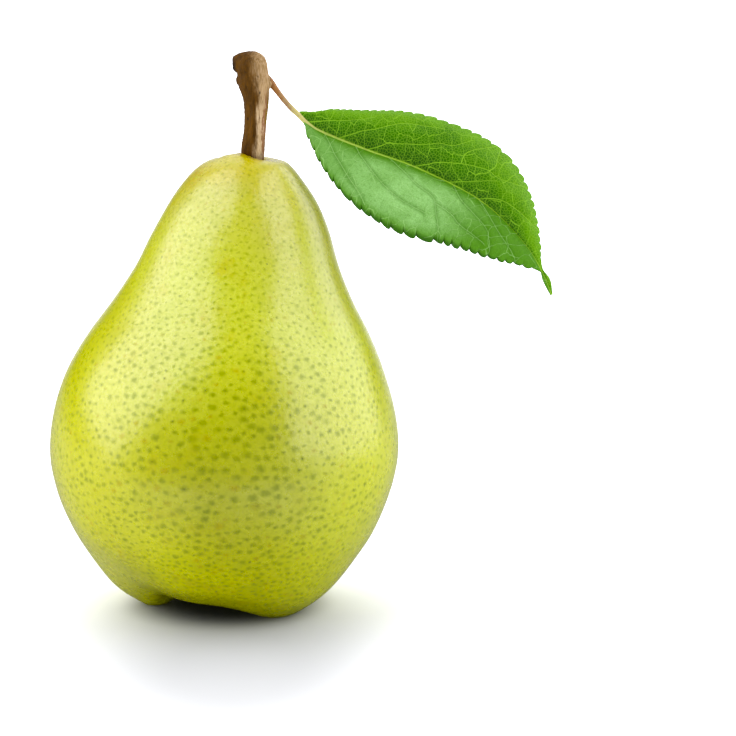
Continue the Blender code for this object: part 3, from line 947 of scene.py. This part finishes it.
def paintBark():
    material, tree, shader = newMaterial("stemBark")
    place = objectPlace(tree)
    streaked = objectPlace(tree, barkPaint["streaked"])
    where = parts(tree, place)
    height = where["Z"]
    streak = noiseAt(tree, streaked, *barkPaint["streak"])
    hair = noiseAt(tree, streaked, *barkPaint["hair"])
    blotch = noiseAt(tree, place, *barkPaint["blotch"])
    wander = times(tree, calculate(tree, "SUBTRACT", streak, 0.5), barkPaint["sideWander"])
    side = calculate(tree, "ADD", where["X"], wander)
    start = calculate(tree, "ADD", *[between(tree, height, *steps) for steps in barkPaint["stripeStart"]])
    speckled = objectPlace(tree, barkPaint["speckled"])
    specks = addNode(tree, "TexVoronoi", {"Vector": speckled, "Scale": barkPaint["pitScale"]})
    specks = specks.outputs["Distance"]
    pit = times(tree, between(tree, specks, 0.22, 0.10), between(tree, blotch, 0.40, 0.60))
    values = {
        "height": height, "streak": streak, "hair": hair, "blotch": blotch, "specks": specks,
        "knobSide": calculate(tree, "SUBTRACT", side, between(tree, height, *barkPaint["knobShift"])),
        "fromStripe": calculate(tree, "SUBTRACT", side, start),
        "fromRim": calculate(tree, "SUBTRACT", side, between(tree, height, *barkPaint["rimStart"])),
        "toScar": distance(tree, noiseShift(tree, place, *barkPaint["scarShift"]), stem["scarPlace"]),
    }
    fillInputs(tree, shader, {
        "Base Color": laidOn(tree, barkPaint["dark"], values, barkPaint["layers"], barkPaint),
        "Roughness": between(tree, streak, *barkPaint["roughness"]),
        "Specular IOR Level": barkPaint["specular"],
        "Normal": bumpFrom(tree, (streak, 0.22), (hair, 0.08), (restOf(tree, pit), 0.10)),
    })
    return material


buildStem(paintBark())
print("stem done")


# Leaf: a fine toothed grid, quilted between its veins, on a round stalk

leaf = {
    "midrib": (
        (15.3, -1.0, 101.1), (17.5, -1.3, 99.0), (20.2, -1.6, 97.4), (28.9, -2.4, 94.0), (39.2, -3.3, 90.4),
        (51.9, -4.4, 84.0), (60.3, -5.2, 76.0), (64.2, -5.6, 70.0), (66.2, -5.8, 65.2),
    ),
    "widths": (
        (0.00, 0.7, 0.2), (0.03, 2.6, 0.3), (0.06, 4.5, 1.7), (0.15, 7.1, 7.8), (0.30, 10.6, 14.5),
        (0.45, 12.1, 15.8), (0.60, 11.8, 12.9), (0.75, 6.8, 8.7), (0.87, 1.5, 2.9), (0.92, 0.35, 0.35),
        (0.955, 0.8, 0.6), (1.00, 0.2, 0.2),
    ),
    "farFacing": 34,
    "nearFacing": 48,
    "farArch": 0.17,
    "nearArch": 0.12,
    "sweep": 0.5,
    "rowsAlong": 352,
    "rowsAcross": 96,
    "teethFar": 37,
    "teethNear": 28,
    "teethWarp": 0.29,  # the teeth are finer at both ends of the blade by this share, and coarser half way
    "teethEnd": 0.92,
    # share of the blade, then how far the teeth stand out on the far and on the near margin
    "teethDepth": ((0.0, 0.3, 0.8), (0.2, 0.4, 1.0), (0.4, 0.5, 0.95), (0.65, 0.5, 0.95),
                   (0.85, 0.4, 0.6), (1.0, 0.1, 0.1)),
    "teethLean": 0.35,
    "teethZone": 1.5,  # how far in from the margin the teeth are cut
    "teethWander": (0.35, 14),  # how far they stray from even steps, and how often along the blade
    "teethSizes": (0.85, 0.3),  # middle and unevenness
    "toothRise": (0.03, 0.60, 0.8),  # start and end of the rise in each tooth, and its power
    "toothFall": (0.74, 0.96, 1.3),
    "rowCrowding": 1.35,  # rows crowd towards the margin, where the teeth are
    "thickness": 0.34,
    "quilt": 0.30,
    "quiltReach": (2.0, 1.6),  # from the side veins and from the midrib
    "groove": (0.10, 0.4),  # depth, width
    "waves": (0.35, 9),  # depth, size
    "grain": (0.05, 1.6),
    "curl": (0.25, 0.50),  # how far the far and the near margin bend down
    "veins": (
        # share of the blade and place across it, 1 on the far margin and -1 on the near one
        ((0.07, 0.06), (0.11, 0.26), (0.145, 0.39), (0.18, 0.46), (0.24, 0.62)),
        ((0.235, 0.02), (0.265, 0.19), (0.28, 0.29), (0.315, 0.40), (0.34, 0.54), (0.365, 0.66),
         (0.42, 0.74)),
        ((0.355, 0.01), (0.38, 0.13), (0.39, 0.21), (0.415, 0.25), (0.46, 0.35), (0.485, 0.43),
         (0.50, 0.51), (0.53, 0.56), (0.54, 0.73)),
        ((0.52, 0.01), (0.545, 0.14), (0.55, 0.18), (0.595, 0.36), (0.625, 0.48), (0.645, 0.56),
         (0.67, 0.59), (0.685, 0.69), (0.695, 0.80)),
        ((0.635, 0.05), (0.655, 0.20), (0.675, 0.50)),
        ((0.72, 0.04), (0.725, 0.21), (0.74, 0.38), (0.76, 0.49), (0.79, 0.70), (0.815, 0.94)),
        ((0.595, 0.36), (0.575, 0.53), (0.575, 0.69), (0.585, 0.90)),
        ((0.645, 0.56), (0.64, 0.69), (0.62, 0.85)),
        ((0.175, -0.05), (0.195, -0.39), (0.215, -0.53), (0.26, -0.74)),
        ((0.315, -0.06), (0.325, -0.20), (0.37, -0.48), (0.435, -0.63), (0.495, -0.69)),
        ((0.46, -0.11), (0.51, -0.34), (0.56, -0.46), (0.565, -0.69)),
        ((0.565, -0.54), (0.62, -0.61), (0.655, -0.71), (0.725, -0.81)),
        ((0.645, 0.0), (0.66, -0.25), (0.70, -0.38), (0.745, -0.54), (0.755, -0.70)),
        ((0.725, -0.03), (0.76, -0.28), (0.79, -0.48), (0.82, -0.66)),
    ),
    "veinPoints": 60,
    "veinWidth": (0.18, 0.10),  # half width at its root and at its end
    "veinSlope": 1.6,  # how far a side vein runs forward for each step outward
    "stalk": ((9.0, 0.0, 108.3, 0.82), (9.9, -0.12, 107.3, 0.74), (10.8, -0.28, 106.15, 0.62),
              (11.9, -0.45, 104.7, 0.56), (13.1, -0.68, 103.25, 0.54), (14.2, -0.85, 102.1, 0.55)),
    "midribRadius": (0.52, 0.16),
    "midribEnd": 0.86,
    "midribSink": 0.16,
    "midribKnots": 15,
    "stalkRings": 150,
    "stalkSides": 20,
    "stalkUneven": (0.05, 2.5),  # share, size
}
mapSize = 100.0  # millimetres across the flat blade's own map
midrib = curveThrough(leaf["midrib"], 401)
leafLength = sum((there - here).length for here, there in zip(midrib, midrib[1:]))


def bladeAxes(share, side):
    along = (pointAt(midrib, share + 0.01) - pointAt(midrib, share - 0.01)).normalized()
    facing = math.radians(leaf["farFacing"] if side > 0 else leaf["nearFacing"])
    across = Vector((0, -math.cos(facing), math.sin(facing))).cross(along).normalized()
    return along, across * side, along.cross(across)


def flatPoint(share, place):
    # where a point of the blade lies once it is pressed flat, in millimetres
    out = abs(place)
    half = tableValue(leaf["widths"], share, 1 if place >= 0 else 2)
    forward = share - leaf["sweep"] * share * (1.0 - share) * (1.0 - out)
    return Vector((forward * leafLength, place * half, 0.0))


def toothAt(share, side):
    # 0 in the notch and 1 on the rounded point of a tooth, which leans forward
    count = leaf["teethFar"] if side > 0 else leaf["teethNear"]
    place = share / leaf["teethEnd"]
    place += leaf["teethWarp"] * math.sin(2 * math.pi * place) / (2 * math.pi)
    stray, often = leaf["teethWander"]
    phase = place * count + stray * noise.noise(Vector((share * often, side * 3, 0.5)))
    number = math.floor(phase)
    part = phase - number
    middle, uneven = leaf["teethSizes"]
    size = middle + uneven * noise.noise(Vector((number * 1.7, side * 5, 0.3)))
    # a rounded lobe that is fullest towards the tip, with a narrow notch after it
    start, end, power = leaf["toothRise"]
    rise = math.sin(min(1.0, (part + start) / end) * math.pi / 2) ** power
    start, end, power = leaf["toothFall"]
    return size * rise * (1.0 - easedBetween(part, start, end) ** power)


def makeBladeRows():
    rows = {}
    for row in range(leaf["rowsAlong"] + 1):
        share = row / leaf["rowsAlong"]
        for side, column in ((1, 1), (-1, 2)):
            half = tableValue(leaf["widths"], share, column)
            toothed = ease(half / 2.0) if share <= leaf["teethEnd"] else 0.0
            depth = tableValue(leaf["teethDepth"], share, column) * toothAt(share, side) * toothed
            root = pointAt(midrib, share - leaf["sweep"] * share * (1.0 - share))
            rows[row, side] = (share, half, depth, root, pointAt(midrib, share), *bladeAxes(share, side))
    return rows


def gatherVeins():
    # short pieces of every side vein on the flat blade: middle, direction, half width
    pieces = []
    rootWidth, endWidth = leaf["veinWidth"]
    for vein in leaf["veins"]:
        line = curveThrough([flatPoint(share, place) for share, place in vein], leaf["veinPoints"])
        for index, (here, there) in enumerate(zip(line, line[1:])):
            width = rootWidth + (endWidth - rootWidth) * index / (len(line) - 2)
            pieces.append(((here + there) / 2, (there - here).normalized(), width))
    return pieces, searchTree([piece[0] for piece in pieces])


def bladeRelief(flat, toVein, half, out):
    # quilted between the side veins, with the veins sunk in
    toRib = abs(flat.y)
    fromVein, fromRib = leaf["quiltReach"]
    puff = (1.0 - math.exp(-(toVein / fromVein) ** 2)) * (1.0 - math.exp(-(toRib / fromRib) ** 2))
    groove, width = leaf["groove"]
    waves, size = leaf["waves"]
    grain, grainSize = leaf["grain"]
    relief = leaf["quilt"] * puff - groove * math.exp(-(toVein / width) ** 2)
    relief += waves * ripple(flat, size) * ease(toRib / 3)
    relief += grain * ripple(flat, grainSize)
    return relief * ease(half / 5) * (1.0 - 0.8 * easedBetween(out, 0.8, 1.0))


def buildBlade(upper, under):
    rows = makeBladeRows()
    pieces, tree = gatherVeins()
    bm = bmesh.new()
    bmesh.ops.create_grid(bm, x_segments=leaf["rowsAlong"], y_segments=leaf["rowsAcross"], size=1.0)
    bm.verts.ensure_lookup_table()
    flats, nets = [], []
    slope = leaf["veinSlope"]
    steep = math.hypot(1.0, slope)
    for vert in bm.verts:
        row = round((vert.co.x + 1) / 2 * leaf["rowsAlong"])
        side = 1 if vert.co.y >= 0 else -1
        out = 1.0 - (1.0 - abs(vert.co.y)) ** leaf["rowCrowding"]
        share, half, depth, root, onMidrib, along, across, up = rows[row, side]
        flat = flatPoint(share, out * side)
        arch = half * (leaf["farArch"] if side > 0 else leaf["nearArch"])
        zone = min(0.3, leaf["teethZone"] / half)
        edge = max(0.0, (out - 1.0 + zone) / zone) ** 1.5
        point = root.lerp(onMidrib + across * half, out) + up * arch * 4 * out * (1.0 - out)
        point += (across * depth + along * depth * leaf["teethLean"]) * edge
        curl = leaf["curl"][0 if side > 0 else 1] * edge * (0.5 + 0.5 * edge) * ease(half / 5)
        vert.co = point + up * (bladeRelief(flat, tree.find(flat)[2], half, out) - curl)
        flats.append(flat)
        toRib = abs(flat.y)
        nets.append(((flat.x - slope * toRib) / steep, (slope * flat.x + toRib) / steep, out))
    bm.normal_update()
    if sum(face.normal.z for face in bm.faces) < 0:
        bmesh.ops.reverse_faces(bm, faces=bm.faces)
    layer = bm.loops.layers.uv.new("bladeFlat")
    starts, directions = [], []
    for face in bm.faces:
        centre = Vector(nowhere)
        for loop in face.loops:
            flat = flats[loop.vert.index]
            loop[layer].uv = flat.xy / mapSize
            centre += flat / len(face.loops)
        middle, direction, width = pieces[tree.find(centre)[1]]
        starts.append((middle.x, middle.y, width))
        directions.append((direction.x, direction.y, 0.0))
    piece = makePiece("leafBlade", bm, [upper, under], "leaf")
    storeVectors(piece, "veinStart", "FACE", starts)
    storeVectors(piece, "veinAlong", "FACE", directions)
    storeVectors(piece, "netPlace", "POINT", nets)
    wall = piece.modifiers.new("thickness", "SOLIDIFY")
    wall.thickness = leaf["thickness"] * mm
    wall.offset = 0.0
    wall.material_offset = 1
    wall.material_offset_rim = 0
    return piece


def buildStalk(material):
    # the stalk, then the midrib that it becomes, half sunk in the blade
    ribStart, ribEnd = leaf["midribRadius"]
    up = bladeAxes(0.5, 1)[2]
    line = [Vector(row[:3]) for row in leaf["stalk"]]
    radii = [row[3] for row in leaf["stalk"]]
    knots = leaf["midribKnots"]
    for share in (step / (knots - 1) for step in range(knots)):
        line.append(pointAt(midrib, leaf["midribEnd"] * share) - up * leaf["midribSink"] * ease(share * 8))
        radii.append(ribStart + (ribEnd - ribStart) * share)
    path = curveThrough(line, leaf["stalkRings"])
    steps = [(there - here).length for here, there in zip(line, line[1:])]
    lengths = [0.0] + list(itertools.accumulate(steps))
    uneven, size = leaf["stalkUneven"]
    sizes = []
    for index in range(len(path)):
        along = index / (len(path) - 1) * lengths[-1]
        spot = min(bisect.bisect_left(lengths, along, 1) - 1, len(steps) - 1)
        part = min(1.0, (along - lengths[spot]) / steps[spot])
        radius = radii[spot] + (radii[spot + 1] - radii[spot]) * part
        sizes.append(radius * (1.0 + uneven * ripple((along, 0, 0), size)))
    bm = bmesh.new()
    sweepTube(bm, path, sizes, leaf["stalkSides"])
    bmesh.ops.recalc_face_normals(bm, faces=bm.faces)
    return makePiece("leafStalk", bm, [material], "leaf")


leafPaint = {
    "blotch": (0.16, 3.0, 0.55),
    "grain": (1.6, 3.0, 0.6),
    "underBlotch": (0.2, 3.0, 0.55),
    # a side vein's edge in its own half widths, then the ladder between the veins and the fine net
    "veinEdge": (0.95, 0.30),
    "ladderShift": (0.5, 1.3),
    "ladderStretch": (0.24, 0.44, 0.0),
    "ladderCells": (1.0, 0.85),
    "ladderEdge": (0.028, 0.006),
    "meshCells": (1.9, 1.0),
    "meshEdge": (0.16, 0.03),
    "farSide": (-0.4, 0.4),
    # the far half is deep green by the midrib and yellower towards its margin and both ends: partly its own
    # colour, partly painted shade by the midrib and painted light towards the margin
    "outwards": ((0.0, "deep"), (0.5, "middle"), (1.05, "bright")),
    "spread": (("blotch", 0.3, 0.7, -0.2, 0.2), ("along", 20.0, 60.0, -0.15, 0.25)),
    "earlySpread": (30.0, 12.0, 0.0, 0.7),
    # the near half is greener and lighter, partly painted light, with a painted sheen over the middle of it
    "sheenPatch": (
        ("sheen", ("along", 4.0, 26.0, 0.35, 1.0), ("along", 47.0, 29.0), ("out", 0.02, 0.35),
         ("out", 1.0, 0.86), ("blotch", 0.3, 0.65, 0.55, 0.95)),
    ),
    "layers": (
        ("middle", ("grain", 0.45, 0.75, 0.0, 0.35)),
        # darker green beside the veins on the near half: painted shade in the grooves
        ("middle", ("toVein", 0.9, 0.2, 0.0, 0.4), ("across", 0.4, -0.4)),
    ),
    # the lines stand out less on the near half: name, share, colour there
    "lines": (("mesh", 0.50, "nearSide"), ("ladder", 0.85, "nearVein"), ("vein", 0.95, "nearVein")),
    "nearStrength": 0.45,
    # the near margin painted dark green where it curls under, painted shade, and the far margin paler, partly
    # a painted highlight
    "rims": ((0.95, 0.99, 0.0, 0.8), (0.985, 1.0, 0.0, 0.5)),
    "halfRib": (0.0, 62.0, 0.42, 0.14),  # the midrib narrows towards the tip
    "ribEdge": (1.1, 0.6),
    "ribTurn": (0.0, 22.0),
    "deep": colour(40, 82, 8),
    "middle": colour(51, 100, 8),
    "bright": colour(84, 131, 24),
    "nearSide": colour(73, 121, 30),
    # a painted sheen on the near half
    "sheen": colour(133, 176, 108),
    "vein": colour(118, 162, 50),
    "nearVein": colour(146, 188, 114),
    "ribStart": colour(176, 186, 92),
    "rib": colour(134, 172, 58),
    # painted shade along the near margin, and the far margin's pale edge, partly a painted highlight
    "edge": colour(34, 76, 10),
    "farEdge": colour(112, 152, 84),
    "under": colour(148, 176, 112),
    "underVein": colour(186, 200, 140),
    "sunk": (("ladder", 0.7), ("mesh", 0.4), ("vein", 1.0)),
    "raised": (("vein", 1.0), ("ladder", 0.6), ("mesh", 0.3)),
    "roughness": (0.3, 0.7, 0.40, 0.54),
    "underRoughness": 0.62,
    "specular": 0.12,
}


def flatPlace(tree):
    # the flat blade's own map, in millimetres
    where = addNode(tree, "UVMap", {}, uv_map="bladeFlat").outputs["UV"]
    return scaled(tree, where, mapSize)


def cellEdges(tree, place, scale, randomness):
    cells = addNode(tree, "TexVoronoi", {"Vector": place, "Scale": scale, "Randomness": randomness},
                    feature="DISTANCE_TO_EDGE", voronoi_dimensions="2D")
    return cells.outputs["Distance"]


def bladeValues(tree, flat):
    # where each point lies, and how much on a side vein, on the ladder between them and in the fine net
    start = attributeVector(tree, "veinStart")
    away = vectorMath(tree, "SUBTRACT", flat, vectorMath(tree, "MULTIPLY", start, (1.0, 1.0, 0.0)))
    crossed = vectorMath(tree, "CROSS_PRODUCT", away, attributeVector(tree, "veinAlong"))
    toVein = distance(tree, crossed)
    halfWidths = calculate(tree, "DIVIDE", toVein, parts(tree, start)[2])
    net = attributeVector(tree, "netPlace")
    bent = noiseShift(tree, net, *leafPaint["ladderShift"])
    laddered = vectorMath(tree, "MULTIPLY", bent, leafPaint["ladderStretch"])
    rungs = cellEdges(tree, laddered, *leafPaint["ladderCells"])
    cells = cellEdges(tree, flat, *leafPaint["meshCells"])
    along, across = parts(tree, flat)[:2]
    return {
        "along": along, "across": across, "out": parts(tree, net)[2], "toVein": toVein,
        "vein": between(tree, halfWidths, *leafPaint["veinEdge"]),
        "ladder": between(tree, rungs, *leafPaint["ladderEdge"]),
        "mesh": between(tree, cells, *leafPaint["meshEdge"]),
    }


def strongestLine(tree, values, shares):
    return calculate(tree, "MAXIMUM", *[times(tree, values[name], share) for name, share in shares])


def paintBladeTop():
    material, tree, shader = newMaterial("leafUpper")
    flat = flatPlace(tree)
    values = bladeValues(tree, flat)
    values["blotch"] = noiseAt(tree, flat, *leafPaint["blotch"])
    values["grain"] = noiseAt(tree, flat, *leafPaint["grain"])
    along, out = values["along"], values["out"]
    farSide = between(tree, values["across"], *leafPaint["farSide"])

    # the far half grows lighter outwards: partly its own colour, partly painted shade by the midrib and
    # painted light towards the margin
    early = times(tree, between(tree, along, *leafPaint["earlySpread"]), out)
    shifts = [between(tree, values[name], *steps) for name, *steps in leafPaint["spread"]]
    spread = calculate(tree, "ADD", out, *shifts, early)
    farHalf = ramp(tree, spread, [(stop, leafPaint[name]) for stop, name in leafPaint["outwards"]])
    # the near half: lighter green, partly painted light, with a painted sheen
    nearHalf = laidOn(tree, leafPaint["nearSide"], values, leafPaint["sheenPatch"], leafPaint)
    lamina = mixColours(tree, farSide, nearHalf, farHalf)
    # grain, and painted shade beside the veins on the near half
    lamina = laidOn(tree, lamina, values, leafPaint["layers"], leafPaint)

    strength = between(tree, farSide, 0.0, 1.0, leafPaint["nearStrength"], 1.0)
    for name, share, near in leafPaint["lines"]:
        lineColour = mixColours(tree, farSide, leafPaint[near], leafPaint["vein"])
        lamina = mixColours(tree, times(tree, values[name], share, strength), lamina, lineColour)
    # painted shade along the curled near margin, and a pale far margin that is partly a painted highlight
    rim = mixColours(tree, farSide, *[between(tree, out, *steps) for steps in leafPaint["rims"]])
    lamina = mixColours(tree, rim, lamina, mixColours(tree, farSide, leafPaint["edge"], leafPaint["farEdge"]))
    halfRib = between(tree, along, *leafPaint["halfRib"])
    toRib = calculate(tree, "DIVIDE", absolute(tree, values["across"]), halfRib)
    ribColour = mixColours(tree, between(tree, along, *leafPaint["ribTurn"]), leafPaint["ribStart"],
                           leafPaint["rib"])

    sunk = strongestLine(tree, values, leafPaint["sunk"])
    fillInputs(tree, shader, {
        "Base Color": mixColours(tree, between(tree, toRib, *leafPaint["ribEdge"]), lamina, ribColour),
        "Roughness": between(tree, values["grain"], *leafPaint["roughness"]),
        "Specular IOR Level": leafPaint["specular"],
        "Normal": bumpFrom(tree, (restOf(tree, sunk), 0.07), (values["grain"], 0.04)),
    })
    return material


def paintBladeUnder():
    material, tree, shader = newMaterial("leafUnder")
    flat = flatPlace(tree)
    blotch = noiseAt(tree, flat, *leafPaint["underBlotch"])
    lamina = mixColours(tree, between(tree, blotch, 0.3, 0.7, 0.0, 0.35), leafPaint["under"],
                        leafPaint["middle"])
    raised = strongestLine(tree, bladeValues(tree, flat), leafPaint["raised"])
    fillInputs(tree, shader, {
        "Base Color": mixColours(tree, times(tree, raised, 0.8), lamina, leafPaint["underVein"]),
        "Roughness": leafPaint["underRoughness"],
        "Normal": bumpFrom(tree, (raised, 0.12)),
    })
    return material


stalkPaint = {
    "blotch": (1.1, 4.0, 0.65),
    "speck": (3.0, 3.0, 0.6),
    "reach": (9.0, 15.0),  # where the colours below start, and over how many millimetres they change
    "shift": (0.3, 0.7, -0.05, 0.05),
    "outwards": ((0.0, "root"), (0.12, "red"), (0.30, "tan"), (0.46, "straw"), (0.85, "green")),
    "layers": (
        ("red", ("speck", 0.52, 0.72, 0.0, 0.5), ("share", 0.5, 0.2)),
    ),
    "root": colour(92, 58, 18),
    "red": colour(140, 92, 42),
    "tan": colour(146, 120, 82),
    "straw": colour(180, 172, 108),
    "green": colour(146, 174, 74),
    "roughness": (0.3, 0.7, 0.38, 0.52),
}


def paintStalk():
    material, tree, shader = newMaterial("leafStalk")
    place = objectPlace(tree)
    blotch = noiseAt(tree, place, *stalkPaint["blotch"])
    speck = noiseAt(tree, place, *stalkPaint["speck"])
    start, length = stalkPaint["reach"]
    share = calculate(tree, "DIVIDE", calculate(tree, "SUBTRACT", parts(tree, place)[0], start), length)
    share = calculate(tree, "ADD", share, between(tree, blotch, *stalkPaint["shift"]))
    values = {"share": share, "speck": speck}
    base = ramp(tree, share, [(stop, stalkPaint[name]) for stop, name in stalkPaint["outwards"]])
    fillInputs(tree, shader, {
        "Base Color": laidOn(tree, base, values, stalkPaint["layers"], stalkPaint),
        "Roughness": between(tree, speck, *stalkPaint["roughness"]),
        "Normal": bumpFrom(tree, (speck, 0.05)),
    })
    return material


buildBlade(paintBladeTop(), paintBladeUnder())
buildStalk(paintStalk())
print("leaf done")


# Calyx: a dried cup with five curled sepals and the stubs of the stamens

calyx = {
    "cup": ((0.0, 8.6), (1.3, 8.6), (2.3, 8.4), (2.6, 7.8), (2.6, 6.9), (2.65, 6.2), (2.75, 5.7), (2.7, 5.35),
            (2.4, 5.3), (2.1, 5.6), (1.9, 6.1), (1.2, 6.45), (0.0, 6.5)),
    "cupSteps": 60,
    "cupRim": 6.6,  # below this height the cup is uneven
    "sepals": 5,
    # reach from the axis, height, half width
    "sepalPath": ((2.15, 6.1, 1.35), (3.0, 5.35, 1.30), (3.9, 4.5, 1.05), (4.7, 3.75, 0.75),
                  (5.35, 3.25, 0.42), (5.75, 3.15, 0.10)),
    "sepalGrid": (20, 8),
    "sepalRoot": 2.1,
    "sepalCup": 0.28,
    "sepalCrinkle": (0.10, 0.6),  # depth, size
    "sepalThickness": 0.28,
    "stamens": 16,
    "stamenFoot": 6.7,
    "stamenRadii": (0.10, 0.09, 0.08, 0.08, 0.08, 0.14, 0.09),
    "stamenSides": 6,
    "seed": 7,
}


def addSepal(bm, path, number, draw):
    rows, columns = calyx["sepalGrid"]
    compass = 2 * math.pi * number / calyx["sepals"] + draw.uniform(-0.1, 0.1)
    turn = Matrix.Rotation(compass, 3, "Z")
    tilt = draw.uniform(-0.25, 0.25)
    depth, size = calyx["sepalCrinkle"]
    made = bmesh.ops.create_grid(bm, x_segments=rows, y_segments=columns, size=1.0)["verts"]
    for vert in made:
        reach, height, width = path[round((vert.co.x + 1) / 2 * rows)]
        side = vert.co.y
        crinkle = depth * ripple((reach * 1.5, side * 1.5, number * 5), size)
        across = side * width + tilt * (reach - calyx["sepalRoot"]) * 0.3
        vert.co = turn @ Vector((reach, across, height + calyx["sepalCup"] * side * side * width + crinkle))
    faces = dict.fromkeys(face for vert in made for face in vert.link_faces)
    bmesh.ops.solidify(bm, geom=list(faces), thickness=calyx["sepalThickness"])


def addStamen(bm, number, draw):
    compass = 2 * math.pi * number / calyx["stamens"] + draw.uniform(-0.15, 0.15)
    out = Vector((math.cos(compass), math.sin(compass), 0.0))
    start = draw.uniform(0.9, 1.7)
    length = draw.uniform(1.0, 1.8)
    bend = draw.uniform(-0.5, 0.4)
    steps = ((0.0, 0.0), (0.1, 0.5), (bend * 0.5, 0.85), (bend, 1.0))
    points = [out * (start + shift) + Vector((0, 0, calyx["stamenFoot"] - length * share))
              for shift, share in steps]
    radii = calyx["stamenRadii"]
    sweepTube(bm, curveThrough(points, len(radii)), radii, calyx["stamenSides"])


def buildCalyx(material):
    draw = random.Random(calyx["seed"])
    bm = bmesh.new()
    turnOutline(bm, calyx["cup"], calyx["cupSteps"])
    for vert in bm.verts:
        if vert.co.z < calyx["cupRim"]:
            lobed = math.cos(calyx["sepals"] * math.atan2(vert.co.y, vert.co.x))
            vert.co.xy *= 1.0 + 0.05 * lobed + 0.03 * ripple(vert.co, 0.8)
    path = curveThrough(calyx["sepalPath"], calyx["sepalGrid"][0] + 1)
    for number in range(calyx["sepals"]):
        addSepal(bm, path, number, draw)
    for number in range(calyx["stamens"]):
        addStamen(bm, number, draw)
    bmesh.ops.recalc_face_normals(bm, faces=bm.faces)
    return makePiece("driedCalyx", bm, [material], "calyx")


calyxPaint = {
    "blotch": (0.8, 4.0, 0.6),
    "speck": (3.5, 3.0, 0.6),
    "blotches": ((0.3, "dark"), (0.5, "brown"), (0.72, "pale")),
    "layers": (
        ("dark", ("speck", 0.5, 0.75, 0.0, 0.6)),
    ),
    "brown": colour(88, 66, 44),
    "pale": colour(134, 110, 74),
    "dark": colour(40, 28, 20),
    "roughness": (0.3, 0.7, 0.7, 0.9),
}


def paintCalyx():
    material, tree, shader = newMaterial("driedCalyx")
    place = objectPlace(tree)
    values = {name: noiseAt(tree, place, *calyxPaint[name]) for name in ("blotch", "speck")}
    base = ramp(tree, values["blotch"], [(stop, calyxPaint[name]) for stop, name in calyxPaint["blotches"]])
    fillInputs(tree, shader, {
        "Base Color": laidOn(tree, base, values, calyxPaint["layers"], calyxPaint),
        "Roughness": between(tree, values["speck"], *calyxPaint["roughness"]),
        "Normal": bumpFrom(tree, (values["blotch"], 0.25), (values["speck"], 0.10)),
    })
    return material


buildCalyx(paintCalyx())
print("calyx done")
